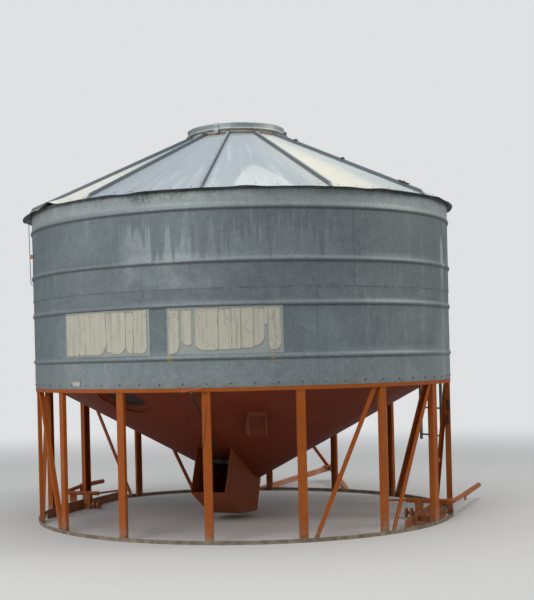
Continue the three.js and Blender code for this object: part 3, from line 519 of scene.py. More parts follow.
def new_group(name, inputs, *outputs):
    """An empty shader node group: its tree, its inputs as values, and a function that takes its outputs."""
    group = bpy.data.node_groups.new(name, "ShaderNodeTree")
    for socket, value in inputs.items():
        made = group.interface.new_socket(socket, in_out="INPUT", socket_type="NodeSocketFloat")
        made.default_value = value
    for socket in outputs:
        kind = "NodeSocketColor" if socket == "Color" else "NodeSocketFloat"
        group.interface.new_socket(socket, in_out="OUTPUT", socket_type=kind)
    tree = Tree(group)
    given = tree.values(tree.add("NodeGroupInput"))[:len(inputs)]
    result = tree.add("NodeGroupOutput")

    def give(*values):
        for socket, value in zip(result.inputs, values):
            tree.feed(socket, value)

    return tree, given, give


def bin_place_group():
    """Azimuth in degrees, radius and height round the bin's axis."""
    tree, _, give = new_group("bin place", {}, "Azimuth", "Radius", "Height")
    x, y, z = tree.split(tree.vector("ADD", tree.place(), -AXIS))
    turn = tree.math("ARCTAN2", x, y * -1.0)
    give(turn * (180 / math.pi), tree.math("SQRT", x * x + y * y), z)


def streaks_group():
    """Streaks that run down a wall, more of them where Cover is high."""
    inputs = {"Width": 0.06, "Length": 1.2, "Cover": 0.4, "Seed": 0.0}
    tree, (width, length, cover, seed), give = new_group("streaks", inputs, "Mask")
    x, y, z = tree.split(tree.place())
    across, down = 1.0 / width, 1.0 / length
    value = tree.noise(1.0, 5.0, 0.6, at=tree.combine(x * across, y * across, z * down + seed))
    low = 0.78 - cover * 0.5
    give(value.step(low, low + 0.2))


def patches_group():
    """Large soft patches with a ragged edge."""
    inputs = {"Scale": 1.0, "Cover": 0.5, "Softness": 0.2, "Seed": 0.0}
    tree, (scale, cover, softness, seed), give = new_group("patches", inputs, "Mask")
    place = tree.vector("ADD", tree.place(), tree.combine(seed, seed, seed))
    low = 0.75 - cover * 0.5
    give(tree.noise(scale, 7.0, 0.58, 0.3, at=place).step(low, low + softness))


def grain_group():
    """Mottled grain of a weathered surface, as a value round 1 and as a height."""
    tree, (size, depth), give = new_group("grain", {"Size": 0.02, "Depth": 0.1}, "Value", "Height")
    scale = 1.0 / size
    both = tree.noise(scale, 3.0, 0.65) * 0.6 + tree.noise(scale * 0.22, 4.0, 0.6) * 0.4
    give((both - 0.5) * (depth * 4.0) + 1.0, both)


def spangle_group():
    """Crystal pattern of galvanised sheet, as a value round 1."""
    tree, (size, depth), give = new_group("spangle", {"Size": 0.025, "Depth": 0.06}, "Value")
    cells = tree.node("ShaderNodeTexVoronoi", "Color", {"Vector": tree.place(), "Scale": 1.0 / size})
    shade = tree.node("ShaderNodeSeparateColor", 0, {0: cells})
    give((shade - 0.5) * (depth * 2.0) + 1.0)


def rust_group():
    """Rust that breaks through, with its colour."""
    tree, (scale, cover), give = new_group("rust", {"Scale": 9.0, "Cover": 0.3}, "Mask", "Color")
    speck = tree.noise(70.0, 3.0, 0.7)
    mask = tree.patches(scale, cover, 0.09, 3.7) * speck.step(0.3, 0.5)
    give(mask, tree.mix(speck, tone(66, 34, 20), tone(142, 76, 38)))


def dust_group():
    """Dust thrown up from the ground, thinner with height, and lying on faces that look up."""
    tree, (reach, cover), give = new_group("dust", {"Reach": 0.3, "Cover": 0.5}, "Mask", "Color")
    thrown = 1.0 - tree.height().step(0.0, reach)
    lying = tree.facing_up().step(0.5, 0.95) * 0.55
    cloud = tree.noise(14.0, 6.0, 0.65)
    mask = tree.math("MULTIPLY", thrown.either(lying) * cloud.step(0.3, 0.65), cover, clamp=True)
    give(mask, tree.mix(cloud, tone(128, 112, 92), tone(178, 163, 140)))


def scratches_group():
    """Short dark scuffs across a painted section."""
    tree, (cover,), give = new_group("scratches", {"Cover": 0.3}, "Mask")
    lines = tree.noise(1.0, 3.0, 0.7, 1.2, at=tree.stretched(6.0, 60.0))
    give(lines.step(0.62, 0.68) * tree.patches(3.1, cover, 0.12, 9.2))


class Coat(Tree):
    """A material in the making: masks lay further colours over its first one."""

    def __init__(self, name, color):
        material = bpy.data.materials.new(name)
        material.use_nodes = True
        super().__init__(material.node_tree)
        self.material = material
        self.shader = material.node_tree.nodes["Principled BSDF"]
        self.color = color
        self.relief = None

    def lay(self, mask, color):
        self.color = self.mix(mask, self.color, color)

    def rust(self, scale, cover, strength):
        mask, color = self.group("rust", Scale=scale, Cover=cover)
        self.lay(mask * strength, color)

    def dust(self, reach, cover):
        mask, color = self.group("dust", Reach=reach, Cover=cover)
        self.lay(mask, color)
        return mask

    def grain(self, size, depth, spangle=None):
        """Makes the colour uneven, and keeps the height of its grain."""
        value, self.relief = self.group("grain", Size=size, Depth=depth)
        if spangle:
            value = value * self.group("spangle", Size=spangle[0], Depth=spangle[1])
        self.color = self.scaled(self.color, value)

    def uneven(self, low, high):
        """A roughness between two values, by the grain."""
        return self.relief.step(0.2, 0.8, low, high)

    def finish(self, roughness, strength, metallic=0.0, distance=2 * MM):
        """Feeds the shader, with the grain as relief."""
        bump = {"Height": self.relief, "Strength": strength, "Distance": distance}
        normal = self.node("ShaderNodeBump", 0, bump)
        self.set({"Base Color": self.color, "Roughness": roughness, "Metallic": metallic, "Normal": normal})

    def set(self, inputs):
        """Feeds inputs of the shader by their names."""
        for name, value in inputs.items():
            self.feed(self.shader.inputs[name], value)


def flames(coat, azimuth, height, foot, reach, turns, seed):
    """Patches that rise to points from a swage, where a darker coat has run down between them."""
    value = coat.noise(1.0, 4.0, 0.5, at=coat.combine(azimuth * turns, seed))
    peak = coat.math("SUBTRACT", 1.0, abs(value - 0.5) * 9.0, clamp=True)
    return (peak * reach + foot - height).step(0.0, 0.14)


def wall_zinc(colors):
    """Weathered galvanised wall: speckled grey with slate zones and chalky runs, painted shade under the
    swages and a painted highlight on their crests, a painted shadow line under the eave and painted light at
    the foot.
    """
    coat = Coat("weathered_wall_zinc", colors.wall_dark)
    azimuth, _, height = coat.group("bin place")
    coat.lay(coat.patches(1.1, 0.62, 0.45, 1.3), colors.wall_zinc)
    coat.lay(coat.streaks(0.16, 1.3, 0.5, 2.0) * 0.18, colors.wall_pale_and_highlight)
    wall_zones(coat, azimuth, height, colors.wall_dark, colors.wall_pale_and_highlight)
    wall_runs(coat, azimuth, height, colors)
    wall_lines(coat, azimuth, height, colors)
    wall_dirt(coat, azimuth, height, colors)
    coat.grain(0.014, 0.3, spangle=(0.02, 0.05))
    coat.finish(coat.uneven(0.45, 0.62), 0.12, 0.3)


def wall_zones(coat, azimuth, height, dark, pale):
    """Slate and chalky zones between the swages, a paler band at the head and painted light at the foot."""
    lower, upper = UPPER_SWAGES
    upper_band = height.band(lower, upper, 0.02)
    middle_band = height.band(LAP_BOTTOM, lower, 0.01)
    slate = (azimuth.band(-26.0, 47.0, 6.0) * upper_band).either(azimuth.band(1.0, 44.0, 5.0) * middle_band)
    coat.lay(slate * coat.patches(2.6, 0.85, 0.4, 9.0) * 0.8, dark)
    # The band above the top swage is painted paler, and the wall below the lowest swage is painted paler as
    # painted light thrown up from the ground
    head = height.step(upper - 0.02, upper + 0.03, 0.0, 0.72)
    foot = height.step(LOWER_SWAGES[0] + 0.02, LOWER_SWAGES[0] - 0.03, 0.0, 0.2)
    coat.lay(head.either(foot), pale)
    chalk = flames(coat, azimuth, height, lower - 0.08, 0.52, 0.2, 4.3) * azimuth.band(-9.0, 9.0, 3.0)
    dome_top = abs(azimuth + 5.0).step(4.0, 0.3, lower - 0.1, lower + 0.34)
    dome = (dome_top - height).step(0.0, 0.1)
    coat.lay(chalk.either(dome) * upper_band * 0.4, pale)
    tongues = flames(coat, azimuth, height, lower - 0.1, 0.55, 0.24, 8.1) * azimuth.band(8.0, 44.0, 6.0)
    coat.lay(tongues * upper_band * 0.17, pale)
    haze = azimuth.band(-11.0, 14.0, 4.0) * middle_band * coat.patches(3.0, 0.85, 0.4, 6.0)
    coat.lay(haze * 0.4, pale)


def wall_runs(coat, azimuth, height, colors):
    """Chalky and dark runs, a brushed zone on the left and a bright run on the right."""
    coat.lay(coat.streaks(0.05, 0.8, 0.4, 0.0) * height.step(1.3, 2.9, 0.1, 0.35), colors.wall_pale_and_highlight)
    coat.lay(coat.streaks(0.016, 0.35, 0.4, 7.0) * 0.12, colors.wall_pale_and_highlight)
    coat.lay(coat.streaks(0.05, 0.9, 0.42, 11.0) * 0.4, colors.wall_dark)
    brushed = coat.noise(1.0, 5.0, 0.7, 2.5, at=coat.stretched(3.0, 42.0)).step(0.5, 0.62)
    brushed = brushed * azimuth.band(-27.0, -9.0, 5.0) * height.band(2.16, 2.56, 0.08)
    coat.lay(brushed * 0.3, colors.grime_and_shade)
    pointed = height.step(2.87, 2.6, -0.5, 1.7) - abs(azimuth - 86.4)
    coat.lay(pointed.step(-0.2, 0.8) * height.step(2.2, 2.6, 0.2, 0.8), colors.wall_pale_and_highlight)


def wall_lines(coat, azimuth, height, colors):
    """Painted shade under the swages, a painted highlight on their crests, and the dotted line of the lap."""
    for middle in SWAGES:
        # Painted shade in a dark band under each swage, and a painted highlight in a pale band on its crest
        coat.lay(height.band(middle - 0.036, middle - 0.014, 0.007) * 0.6, colors.grime_and_shade)
        coat.lay(height.band(middle - 0.004, middle + 0.014, 0.008) * 0.15, colors.wall_pale_and_highlight)
    dots = coat.noise(34.0, 4.0, 0.7).step(0.42, 0.62) * azimuth.step(-14.0, 0.0)
    line = height.band(LAP_BOTTOM - 0.008, LAP_BOTTOM + 0.002, 0.003)
    coat.lay(line * 0.26, coat.mix(dots, colors.grime_and_shade, colors.wall_pale_and_highlight))


def wall_dirt(coat, azimuth, height, colors):
    """Dirt and stains under the eave, a painted shadow line just under the eave, drips at the panels' feet
    and dirt at the wall's foot.
    """
    blotches = coat.noise(1.0, 6.0, 0.72, at=coat.stretched(7.0, 4.0)).step(0.42, 0.62)
    coat.lay(height.step(WALL_HEAD - 0.15, WALL_HEAD - 0.01) * blotches * 0.4, colors.grime_and_shade)
    speckled = coat.noise(26.0, 5.0, 0.7).step(0.36, 0.6)
    below_eave = height.step(UPPER_SWAGES[1] + 0.01, WALL_HEAD - 0.06)
    for middle, strength in ((-4.0, 0.7), (5.0, 0.35)):
        stain = azimuth.band(middle - 3.0, middle + 3.0, 2.0) * speckled * below_eave
        coat.lay(stain * strength, tone(56, 64, 60))
    # Painted shadow: a dark line just under the eave
    coat.lay(height.step(WALL_HEAD - 0.046, WALL_HEAD - 0.034) * 0.6, colors.eave_shadow)
    broken = coat.noise(30.0, 3.0).step(0.3, 0.55) * height.band(1.585, 1.665, 0.03)
    for start, end in ((2.3, 3.5), (26.7, 27.8)):
        coat.lay(azimuth.band(start, end, 0.4) * broken * 0.7, tone(158, 148, 92))
    foot = height.step(WALL_FOOT + 0.05, WALL_FOOT) * coat.noise(20.0, 5.0, 0.7).step(0.38, 0.6)
    coat.lay(foot * 0.35, tone(120, 96, 74))


def roof_zinc(colors):
    """Bright roof sheet: faint runs, painted light on the right side and a painted warm sun reflection on one
    panel, a painted sheen on the left panel, a painted reflection dome, duller ribs with painted shade on
    their sides and a painted highlight on their crests, and painted shade on the eave's underside and edge.
    """
    coat = Coat("bright_roof_zinc", colors.roof_dark)
    azimuth, radius, height = coat.group("bin place")
    below_lid = height.step(LID_FOOT + 0.005, LID_FOOT - 0.005)
    coat.lay(coat.patches(1.1, 0.6, 0.4, 5.1), colors.roof_zinc)
    rays = coat.noise(1.0, 4.0, 0.55, at=coat.combine(azimuth * 0.4, radius * 1.1, 2.0))
    coat.lay(rays.step(0.48, 0.75, 0.0, 0.35), colors.roof_pale_and_highlight)
    coat.lay(rays.step(0.45, 0.28, 0.0, 0.3), colors.roof_dark)
    # Painted light: the roof's right side is painted paler; the left side is painted darker
    coat.lay(azimuth.band(42.0, 110.0, 16.0) * 0.55, colors.roof_pale_and_highlight)
    coat.lay(azimuth.band(-130.0, -8.0, 16.0) * 0.4, colors.roof_dark)
    # Painted reflection: a warm sun reflection on a panel on the right
    sunny = azimuth.band(41.5, 55.0, 6.0) * radius.step(0.5, 1.5, 0.35, 1.0)
    coat.lay(sunny * below_lid * 0.75, colors.roof_warm_reflection)
    # Painted sheen: the left panel, seen at a grazing angle, is painted bright
    chalky = azimuth.band(-52.0, -20.0, 4.0) * radius.step(0.7, 1.7)
    coat.lay(chalky * 0.95, coat.mix(0.5, colors.roof_pale_and_highlight, colors.roof_warm_reflection))
    # Painted reflection: a bright dome on the panels in front
    off = azimuth - 25.7
    dome = (radius - off * off * 0.0118).step(1.52, 1.68) * azimuth.band(17.0, 41.0, 2.0)
    coat.lay(dome * 0.42, colors.roof_pale_and_highlight)
    coat.lay((1.0 - below_lid) * 0.4, colors.roof_pale_and_highlight)
    # Painted shade: the lid's skirt between its rolled rims is painted darker, as the shade of a groove
    lid_groove = height.band(3.942, 3.974, 0.004) * radius.step(LID_RADIUS - 0.012, LID_RADIUS - 0.005)
    coat.lay(lid_groove * 0.5, colors.rib)
    on_rib = roof_ribs(coat, azimuth, radius, below_lid, colors)
    stain = radius.step(0.56, 0.475) * coat.noise(17.0, 4.0, 0.7).step(0.42, 0.6)
    coat.lay(stain * below_lid * 0.5, tone(150, 112, 90))
    # Painted shade on the roof's underside, which faces down, and on the eave's edge
    underside = coat.facing_up().step(-0.2, -0.6) * below_lid
    rim = radius.step(EAVE_RADIUS - 0.005, EAVE_RADIUS - 0.001) * below_lid
    coat.lay(underside.either(rim) * 0.9, colors.eave_shadow)
    coat.grain(0.012, 0.06, spangle=(0.022, 0.03))
    coat.finish(coat.uneven(0.36, 0.52).either(on_rib * 0.8), 0.08, on_rib.step(0.0, 1.0, 0.3, 0.0))


def roof_ribs(coat, azimuth, radius, below_lid, colors):
    """Lays painted shade on the ribs' sides and a painted highlight on their crests over the roof, and gives
    their mask.
    """
    half = RIB_SPACING / 2
    turned = coat.math("MODULO", azimuth + (720 - FIRST_RIB + half), float(RIB_SPACING))
    aside = abs(turned - half) * (math.pi / 180) * radius
    on_rib = aside.step(RIB_HALF + 0.003, RIB_HALF - 0.001) * below_lid
    crest = aside.step(RIB_TOP_HALF + 0.003, RIB_TOP_HALF - 0.002)
    # Painted shade on the ribs' sides and a painted highlight on their crests
    coat.lay(on_rib * 0.92, coat.mix(crest, colors.rib, colors.rib_crest_highlight))
    return on_rib


def painted(name, base, faded, chips, dust_reach, rust_cover=0.25, grain_size=0.02, gloss=0.3):
    """Old paint on steel: faded in patches, scuffed, rusting through, with dust near the ground."""
    coat = Coat(name, base)
    coat.lay(coat.patches(2.3, 0.55, 0.3, 2.2), faded)
    coat.lay(coat.streaks(0.02, 0.7, 0.32, 5.0) * 0.4, chips)
    coat.rust(11.0, rust_cover, 0.75)
    coat.lay(coat.group("scratches", Cover=0.45) * 0.8, chips)
    dust = coat.dust(dust_reach, 0.7)
    coat.grain(grain_size, 0.09)
    coat.set({"Specular IOR Level": gloss})
    coat.finish(coat.math("ADD", coat.uneven(0.5, 0.68), dust * 0.2, clamp=True), 0.15)


def pale_zinc(colors):
    """Galvanised steel near the ground, dusty and dull."""
    coat = Coat("dusty_pale_zinc", colors.wall_dark)
    coat.lay(coat.patches(3.0, 0.5, 0.3, 8.2), colors.wall_zinc)
    coat.rust(6.0, 0.3, 0.6)
    coat.lay(coat.height().step(0.16, 0.03, 0.0, 0.65), tone(104, 86, 66))
    coat.dust(0.3, 1.0)
    coat.grain(0.015, 0.12)
    coat.finish(coat.uneven(0.45, 0.65), 0.15, 0.25)


def plain_steel(name, base, rust_cover, metallic=0.5):
    """Bare or blackened steel with rust."""
    coat = Coat(name, base)
    coat.grain(0.012, 0.14)
    coat.rust(14.0, rust_cover, 0.85)
    coat.finish(coat.uneven(0.42, 0.62), 0.2, metallic)


def gate_steel(colors):
    """Blackened gate and rod, with the frame's paint on the handle."""
    coat = Coat("gate_finish", colors.dark_steel)
    handle_foot = 1.32
    handle = coat.height().step(handle_foot - 0.005, handle_foot + 0.005)
    coat.lay(handle, colors.orange)
    coat.grain(0.012, 0.12)
    coat.rust(14.0, 0.35, 0.8)
    coat.finish(coat.uneven(0.45, 0.65), 0.2, handle.step(0.0, 1.0, 0.5, 0.0))


def film(colors):
    """Old cream film with a few hairline splits and greyer patches."""
    coat = Coat("cream_film", colors.film)
    inputs = {"Vector": coat.stretched(19.0, 3.6), "Scale": 1.0}
    cells = coat.node("ShaderNodeTexVoronoi", "Distance", inputs, feature="DISTANCE_TO_EDGE")
    splits = cells.step(0.04, 0.01) * coat.noise(7.0, 3.0).step(0.5, 0.62)
    coat.lay(coat.patches(8.0, 0.5, 0.35, 6.4) * 0.5, colors.film_grey)
    folds = coat.noise(1.0, 2.0, at=coat.stretched(42.0, 2.0))
    coat.lay(folds.step(0.5, 0.66, 0.0, 0.5), colors.film_grey)
    coat.lay(splits * 0.4, colors.film_edge)
    coat.grain(0.006, 0.05)
    coat.relief = coat.relief + folds * 3.0 - splits
    coat.finish(0.62, 0.3)


def plain_coat(name, base, worn, roughness=0.55):
    """A small painted or plated thing with worn patches."""
    coat = Coat(name, base)
    coat.lay(coat.patches(24.0, 0.4, 0.2, 1.9), worn)
    coat.grain(0.006, 0.08)
    coat.finish(roughness, 0.15, distance=1 * MM)


class SiloColors(bpy.types.PropertyGroup):
    """Colours of the finishes."""

    def color(name, description, default):
        return FloatVectorProperty(name=name, description=description, subtype="COLOR", size=4, min=0, max=1,
                                   default=default)

    wall_zinc: color("Wall zinc", "Main tone of the wall sheets", tone(144, 157, 160))
    wall_dark: color("Wall zinc, dark", "Slate tone of the wall's darker zones", tone(114, 125, 130))
    # Used for the chalky runs, and for the painted highlight on the swages' crests and the painted light at
    # the wall's foot
    wall_pale_and_highlight: color("Wall zinc, chalky", "Tone of the chalky runs on the wall", tone(180, 190, 192))
    roof_zinc: color("Roof zinc", "Main tone of the roof panels", tone(178, 186, 188))
    roof_dark: color("Roof zinc, dull", "Dull tone of the roof panels", tone(160, 170, 176))
    # Used for bright runs, and for painted light, sheen and reflections on the roof
    roof_pale_and_highlight: color("Roof zinc, bright", "Bright runs on the roof panels", tone(224, 228, 224))
    # Painted warm reflection, on the right panel and mixed into the painted sheen of the left panel
    roof_warm_reflection: color("Roof zinc, warm", "Warm bright tone of the roof's sunny panel", tone(240, 235, 214))
    # Painted shade of the ribs' sides, also laid on the lid's groove
    rib: color("Roof rib", "Dark zinc of the standing ribs' sides", tone(88, 98, 106))
    # Painted highlight on the ribs' crests
    rib_crest_highlight: color("Roof rib, crest", "Lighter zinc on top of the standing ribs", tone(148, 157, 162))
    orange: color("Frame paint", "Orange brown paint of the frame", tone(164, 82, 18))
    orange_faded: color("Frame paint, faded", "Faded tone of the frame's paint", tone(176, 96, 34))
    hopper: color("Hopper paint", "Red brown paint of the cone", tone(116, 47, 26))
    hopper_faded: color("Hopper paint, faded", "Dusty tone of the cone's paint", tone(128, 60, 38))
    boot: color("Boot paint", "Brown orange paint of the discharge boot", tone(146, 72, 36))
    towing: color("Towing frame paint", "Sun bleached orange paint of the towing frame", tone(196, 122, 88))
    towing_faded: color("Towing frame paint, bleached", "Palest tone of that paint", tone(214, 176, 152))
    film: color("Panel film", "Cream film on the wall panels", tone(196, 193, 178))
    film_grey: color("Panel film, weathered", "Greyer tone of the film", tone(168, 165, 151))
    film_edge: color("Panel film, edges", "Brown of the film's cracked edges", tone(150, 138, 118))
    # Used for dirt, and for the painted shade under the swages
    grime_and_shade: color("Grime", "Dirt under the eave and in corners", tone(78, 80, 80))
    # Painted shade under the eave: on the roof's underside and edge, and in a line on the wall
    eave_shadow: color("Eave, underside", "Nearly black dirt in the shade under the eave", tone(48, 46, 44))
    dark_steel: color("Dark steel", "Gate, catch and thin wire", tone(58, 60, 62))


class SiloSizes(bpy.types.PropertyGroup):
    """Sizes of the small parts."""

    def length(name, description, default):
        return FloatProperty(name=name, description=description, unit="LENGTH", min=0.0, default=default)

    def count(name, description, default):
        return IntProperty(name=name, description=description, min=1, default=default)

    foot_bolts: count("Wall foot bolts", "Bolts round the foot of the wall", 64)
    foot_bolt_height: length("Foot bolt height", "Height of the bolt row above the ground", 1.397)
    bolt_size: length("Bolt size", "Width across the hexagon heads at the wall's foot", 0.009)
    lap_bolts: count("Lap screws", "Screws round the lap of the two courses", 128)
    screw_size: length("Screw size", "Radius of the largest round screw washers", 0.008)
    eave_screws: count("Eave screws", "Screws along the eave of one roof panel", 6)
    panel_bottom: length("Panel foot", "Lower edge of the two wall panels", 1.662)
    panel_top: length("Panel head", "Upper edge of the two wall panels", 2.062)
    film_lift: length("Film lift", "How far the film's edges curl away from the wall", 0.004)


class SiloStage(bpy.types.PropertyGroup):
    """Floor and light."""

    def amount(name, description, default):
        return FloatProperty(name=name, description=description, min=0, default=default)

    floor_tone: amount("Floor tone", "Brightness of the floor", 0.62)
    sky_strength: amount("Sky", "Strength of the even light", 0.5)
    top_power: amount("Top light", "Power of the large light overhead", 620)
    key_power: amount("Key light", "Power of the soft light from the front", 520)
    side_power: amount("Side light", "Power of the warm light from the right", 420)
    fill_power: amount("Fill light", "Power of the low soft light from the left", 150)


class SILO_OT_finishes(bpy.types.Operator):
    """Build the shared effects and every finish."""

    bl_idname = "silo.finishes"
    bl_label = "Finishes"

    def execute(self, context):
        colors = context.scene.silo_colors
        for group in (bin_place_group, streaks_group, patches_group, grain_group, spangle_group, rust_group,
                      dust_group, scratches_group):
            group()
        for special in (wall_zinc, roof_zinc, pale_zinc, film, gate_steel):
            special(colors)
        painted("frame_paint", colors.orange, colors.orange_faded, tone(70, 42, 26), 0.22)
        painted("cone_paint", colors.hopper, colors.hopper_faded, tone(70, 34, 24), 0.2, 0.2, 0.03, 0.15)
        painted("boot_paint", colors.boot, tone(134, 66, 36), tone(74, 38, 26), 0.12, 0.25, 0.03, 0.15)
        painted("chute_paint", tone(134, 70, 54), tone(146, 86, 68), tone(92, 50, 38), 0.2, 0.3, 0.02, 0.15)
        painted("door_paint", tone(112, 54, 40), tone(152, 104, 76), tone(70, 34, 24), 0.2, 0.6, 0.02, 0.15)
        painted("bleached_paint", colors.towing, colors.towing_faded, tone(120, 84, 62), 0.1, 0.3)
        plain_steel("dark_steel_finish", colors.dark_steel, 0.35)
        plain_steel("cover_steel", tone(34, 30, 29), 0.3, 0.1)
        plain_steel("bolt_steel", tone(74, 78, 80), 0.42)
        plain_steel("rusted_steel", tone(82, 64, 56), 0.2, 0.1)
        plain_steel("sealing_steel", tone(150, 116, 96), 0.35, 0.0)
        # Painted light: the collar gets a pale tone so that it shows pale in the shade under the lid
        plain_coat("collar_painted_light_coat", tone(214, 210, 198), tone(190, 176, 160), 0.5)
        plain_coat("film_edge_finish", colors.film_edge, colors.film_grey, 0.7)
        plain_coat("panel_backing", tone(160, 166, 162), tone(172, 176, 170))
        plain_coat("plate_white", tone(186, 186, 184), tone(164, 158, 154))
        plain_coat("plate_red", tone(150, 136, 134), tone(142, 144, 144))
        return {"FINISHED"}


class SILO_OT_wall_sheets(bpy.types.Operator):
    """Swaged wall sheets with shallow buckles."""

    bl_idname = "silo.wall_sheets"
    bl_label = "Wall sheets"

    def execute(self, context):
        for half in (0, 1):
            lower = f"lower_wall_sheet_{half + 1}"
            upper = f"upper_wall_sheet_{half + 1}"
            self.sheet(lower, LOWER_SEAM + 180 * half, (WALL_FOOT, LAP_TOP), LOWER_SWAGES, SHELL_RADIUS)
            self.sheet(upper, UPPER_SEAM + 180 * half, (LAP_BOTTOM, WALL_HEAD), UPPER_SWAGES,
                       SHELL_RADIUS + COURSE_STEP)
        return {"FINISHED"}

    def sheet(self, node, seam, ends, swages, shell):
        """One half of a wall course with fine round steps, shown for the CAD sheet."""
        edges = [ends[0]]
        for middle in swages:
            edges += [middle - SWAGE_HEIGHT / 2, middle + SWAGE_HEIGHT / 2]
        levels = [(height, shell + swage_rise(height)) for height in stations([*edges, ends[1]], UP_STEPS)]
        gap = math.degrees(TOUCH / SHELL_RADIUS)
        shape = Shape()
        shape.loft([
            skin([(azimuth, radius + wall_dent(azimuth, height), height) for height, radius in levels], SHEET)
            for azimuth in stations((seam, seam + 180 - gap), ROUND_STEPS)
        ])
        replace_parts(shape.build(f"swaged_{node}", "weathered_wall_zinc", smooth=50), node)


class SILO_OT_roof_sheets(bpy.types.Operator):
    """Roof panels with standing ribs, buckled panels and a wavy eave."""

    bl_idname = "silo.roof_sheets"
    bl_label = "Roof sheets"

    def execute(self, context):
        for number in (1, 2, 3):
            start = FIRST_RIB + (number - 1) * PANELS_PER_SHEET * RIB_SPACING
            section = self.section(start)
            ribbed = stations((ROOF_INNER + RIB_HEAD_SETBACK, EAVE_RADIUS - RIB_EAVE_SETBACK), ROOF_STEPS)
            rings = [self.ring(section, ROOF_INNER, 0.0)]
            rings += [self.ring(section, radius, RIB_HEIGHT) for radius in ribbed]
            rings.append(self.ring(section, EAVE_RADIUS, 0.0))
            shape = Shape()
            shape.loft(rings)
            piece = shape.build(f"panelled_roof_sheet_{number}", "bright_roof_zinc", smooth=30)
            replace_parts(piece, f"roof_sheet_{number}")
        return {"FINISHED"}

    def section(self, start):
        """Upper face of a roof sheet in a section round it: azimuth, aside, share of the ribs' height."""
        shoulder, top = RIB_TOP_HALF + 3 * MM, RIB_TOP_HALF - 1 * MM
        right = [(top, 1.0), (shoulder, 0.9), (RIB_HALF, 0.0)]
        rib_profile = [(-aside, rise) for aside, rise in right[::-1]] + right
        points = []
        for panel in range(PANELS_PER_SHEET):
            rib = start + panel * RIB_SPACING
            points += [(rib, aside, rise) for aside, rise in rib_profile]
            free = stations((rib, rib + RIB_SPACING), PANEL_STEPS)[1:-1]
            points += [(azimuth, 0.0, 0.0) for azimuth in free]
        points.append((start + PANELS_PER_SHEET * RIB_SPACING, -RIB_HALF - TOUCH, 0.0))
        return points

    def ring(self, section, radius, rib_height):
        """The section at a radius: the upper face, and the lower face back."""
        upper, lower = [], []
        for azimuth, aside, rise in section:
            surface = roof_surface(azimuth, radius, aside)
            upper.append(surface + roof_up(azimuth) * rise * rib_height)
            lower.append(surface - UP * SHEET * ROOF_SLOPE)
        return upper + lower[::-1]


class SILO_OT_cone_and_boot(bpy.types.Operator):
    """Cone, boot, chute, manhole and gate."""

    bl_idname = "silo.cone_and_boot"
    bl_label = "Cone and boot"

    def execute(self, context):
        softened("hopper_cone", "cone_paint", 0.0, 20)
        softened("manhole_rim", "cone_paint")
        softened("bagging_chute", "chute_paint")
        softened("bagging_chute_door", "door_paint")
        softened("discharge_boot", "boot_paint")
        softened("manhole_cover", "cover_steel")
        softened("gate_slide", "gate_finish", 1 * MM, body="gate")
        return {"FINISHED"}


class SILO_OT_frame_steel(bpy.types.Operator):
    """Legs, braces, rings and the towing gear."""

    bl_idname = "silo.frame_steel"
    bl_label = "Frame steel"

    def execute(self, context):
        for number in range(1, LEG_COUNT + 1):
            softened(f"leg_{number}", "frame_paint", 2.5 * MM)
        for side in ("right", "left"):
            for number in range(1, 5):
                softened(f"brace_{side}_{number}", "frame_paint", 2 * MM)
            for node in ("towing_stay", "side_tray", "swing_arm"):
                softened(f"{node}_{side}", "frame_paint")
        softened("ring_beam", "frame_paint")
        softened("towing_frame", "bleached_paint", 2 * MM)
        softened("base_ring", "dusty_pale_zinc", 1.2 * MM)
        return {"FINISHED"}


class SILO_OT_ladder(bpy.types.Operator):
    """Ladder stiles and rungs."""

    bl_idname = "silo.ladder"
    bl_label = "Ladder"

    def execute(self, context):
        for node in ("ladder_stile_front", "ladder_stile_back"):
            softened(node, "dusty_pale_zinc", 1 * MM)
        for number in range(1, 9):
            softened(f"ladder_rung_{number}", "dusty_pale_zinc", 0.0)
        return {"FINISHED"}


class SILO_OT_filling_hole(bpy.types.Operator):
    """Collar, lid and hinge, with the lid's rolled rims, studs and the rusty sealing round the collar."""

    bl_idname = "silo.filling_hole"
    bl_label = "Filling hole"

    def execute(self, context):
        softened("filling_collar", "collar_painted_light_coat", 1 * MM)
        softened("filling_lid", "bright_roof_zinc", 2 * MM, body="lid")
        softened("lid_hinge", "dusty_pale_zinc", 1 * MM)
        rims = Shape()
        for height, radius in ((3.983, 0.0052), (3.932, 0.0045)):
            path = [polar(azimuth, LID_RADIUS + 0.001, height) for azimuth in range(0, 360, 6)]
            rims.tube(path, radius, 8, closed=True)
        rims.build("lid_rolled_rims", "bright_roof_zinc", "lid")
        studs = Shape()
        profile = [(0.012, 0), (0.012, 0.003), (0.006, 0.004), (0.006, 0.008), (0.003, 0.010)]
        for azimuth in (-29, 18, 64, 152, 205, 262):
            studs.turned(polar(azimuth, LID_RADIUS - 0.03, LID_TOP - 0.001), UP, profile, 10)
        studs.build("lid_studs", "bolt_steel", "lid")
        sealing = Shape()
        path = []
        for azimuth in range(0, 360, 4):
            wobble = wave(math.radians(azimuth), (0.002, 9, 0.5), (0.0015, 23, 2.0))
            radius = ROOF_INNER + 0.006 + wobble
            path.append(polar(azimuth, radius, roof_height(radius) + 0.004 + wobble))
        sealing.tube(path, 0.0065, 6, closed=True)
        sealing.build("collar_sealing", "sealing_steel")
        return {"FINISHED"}


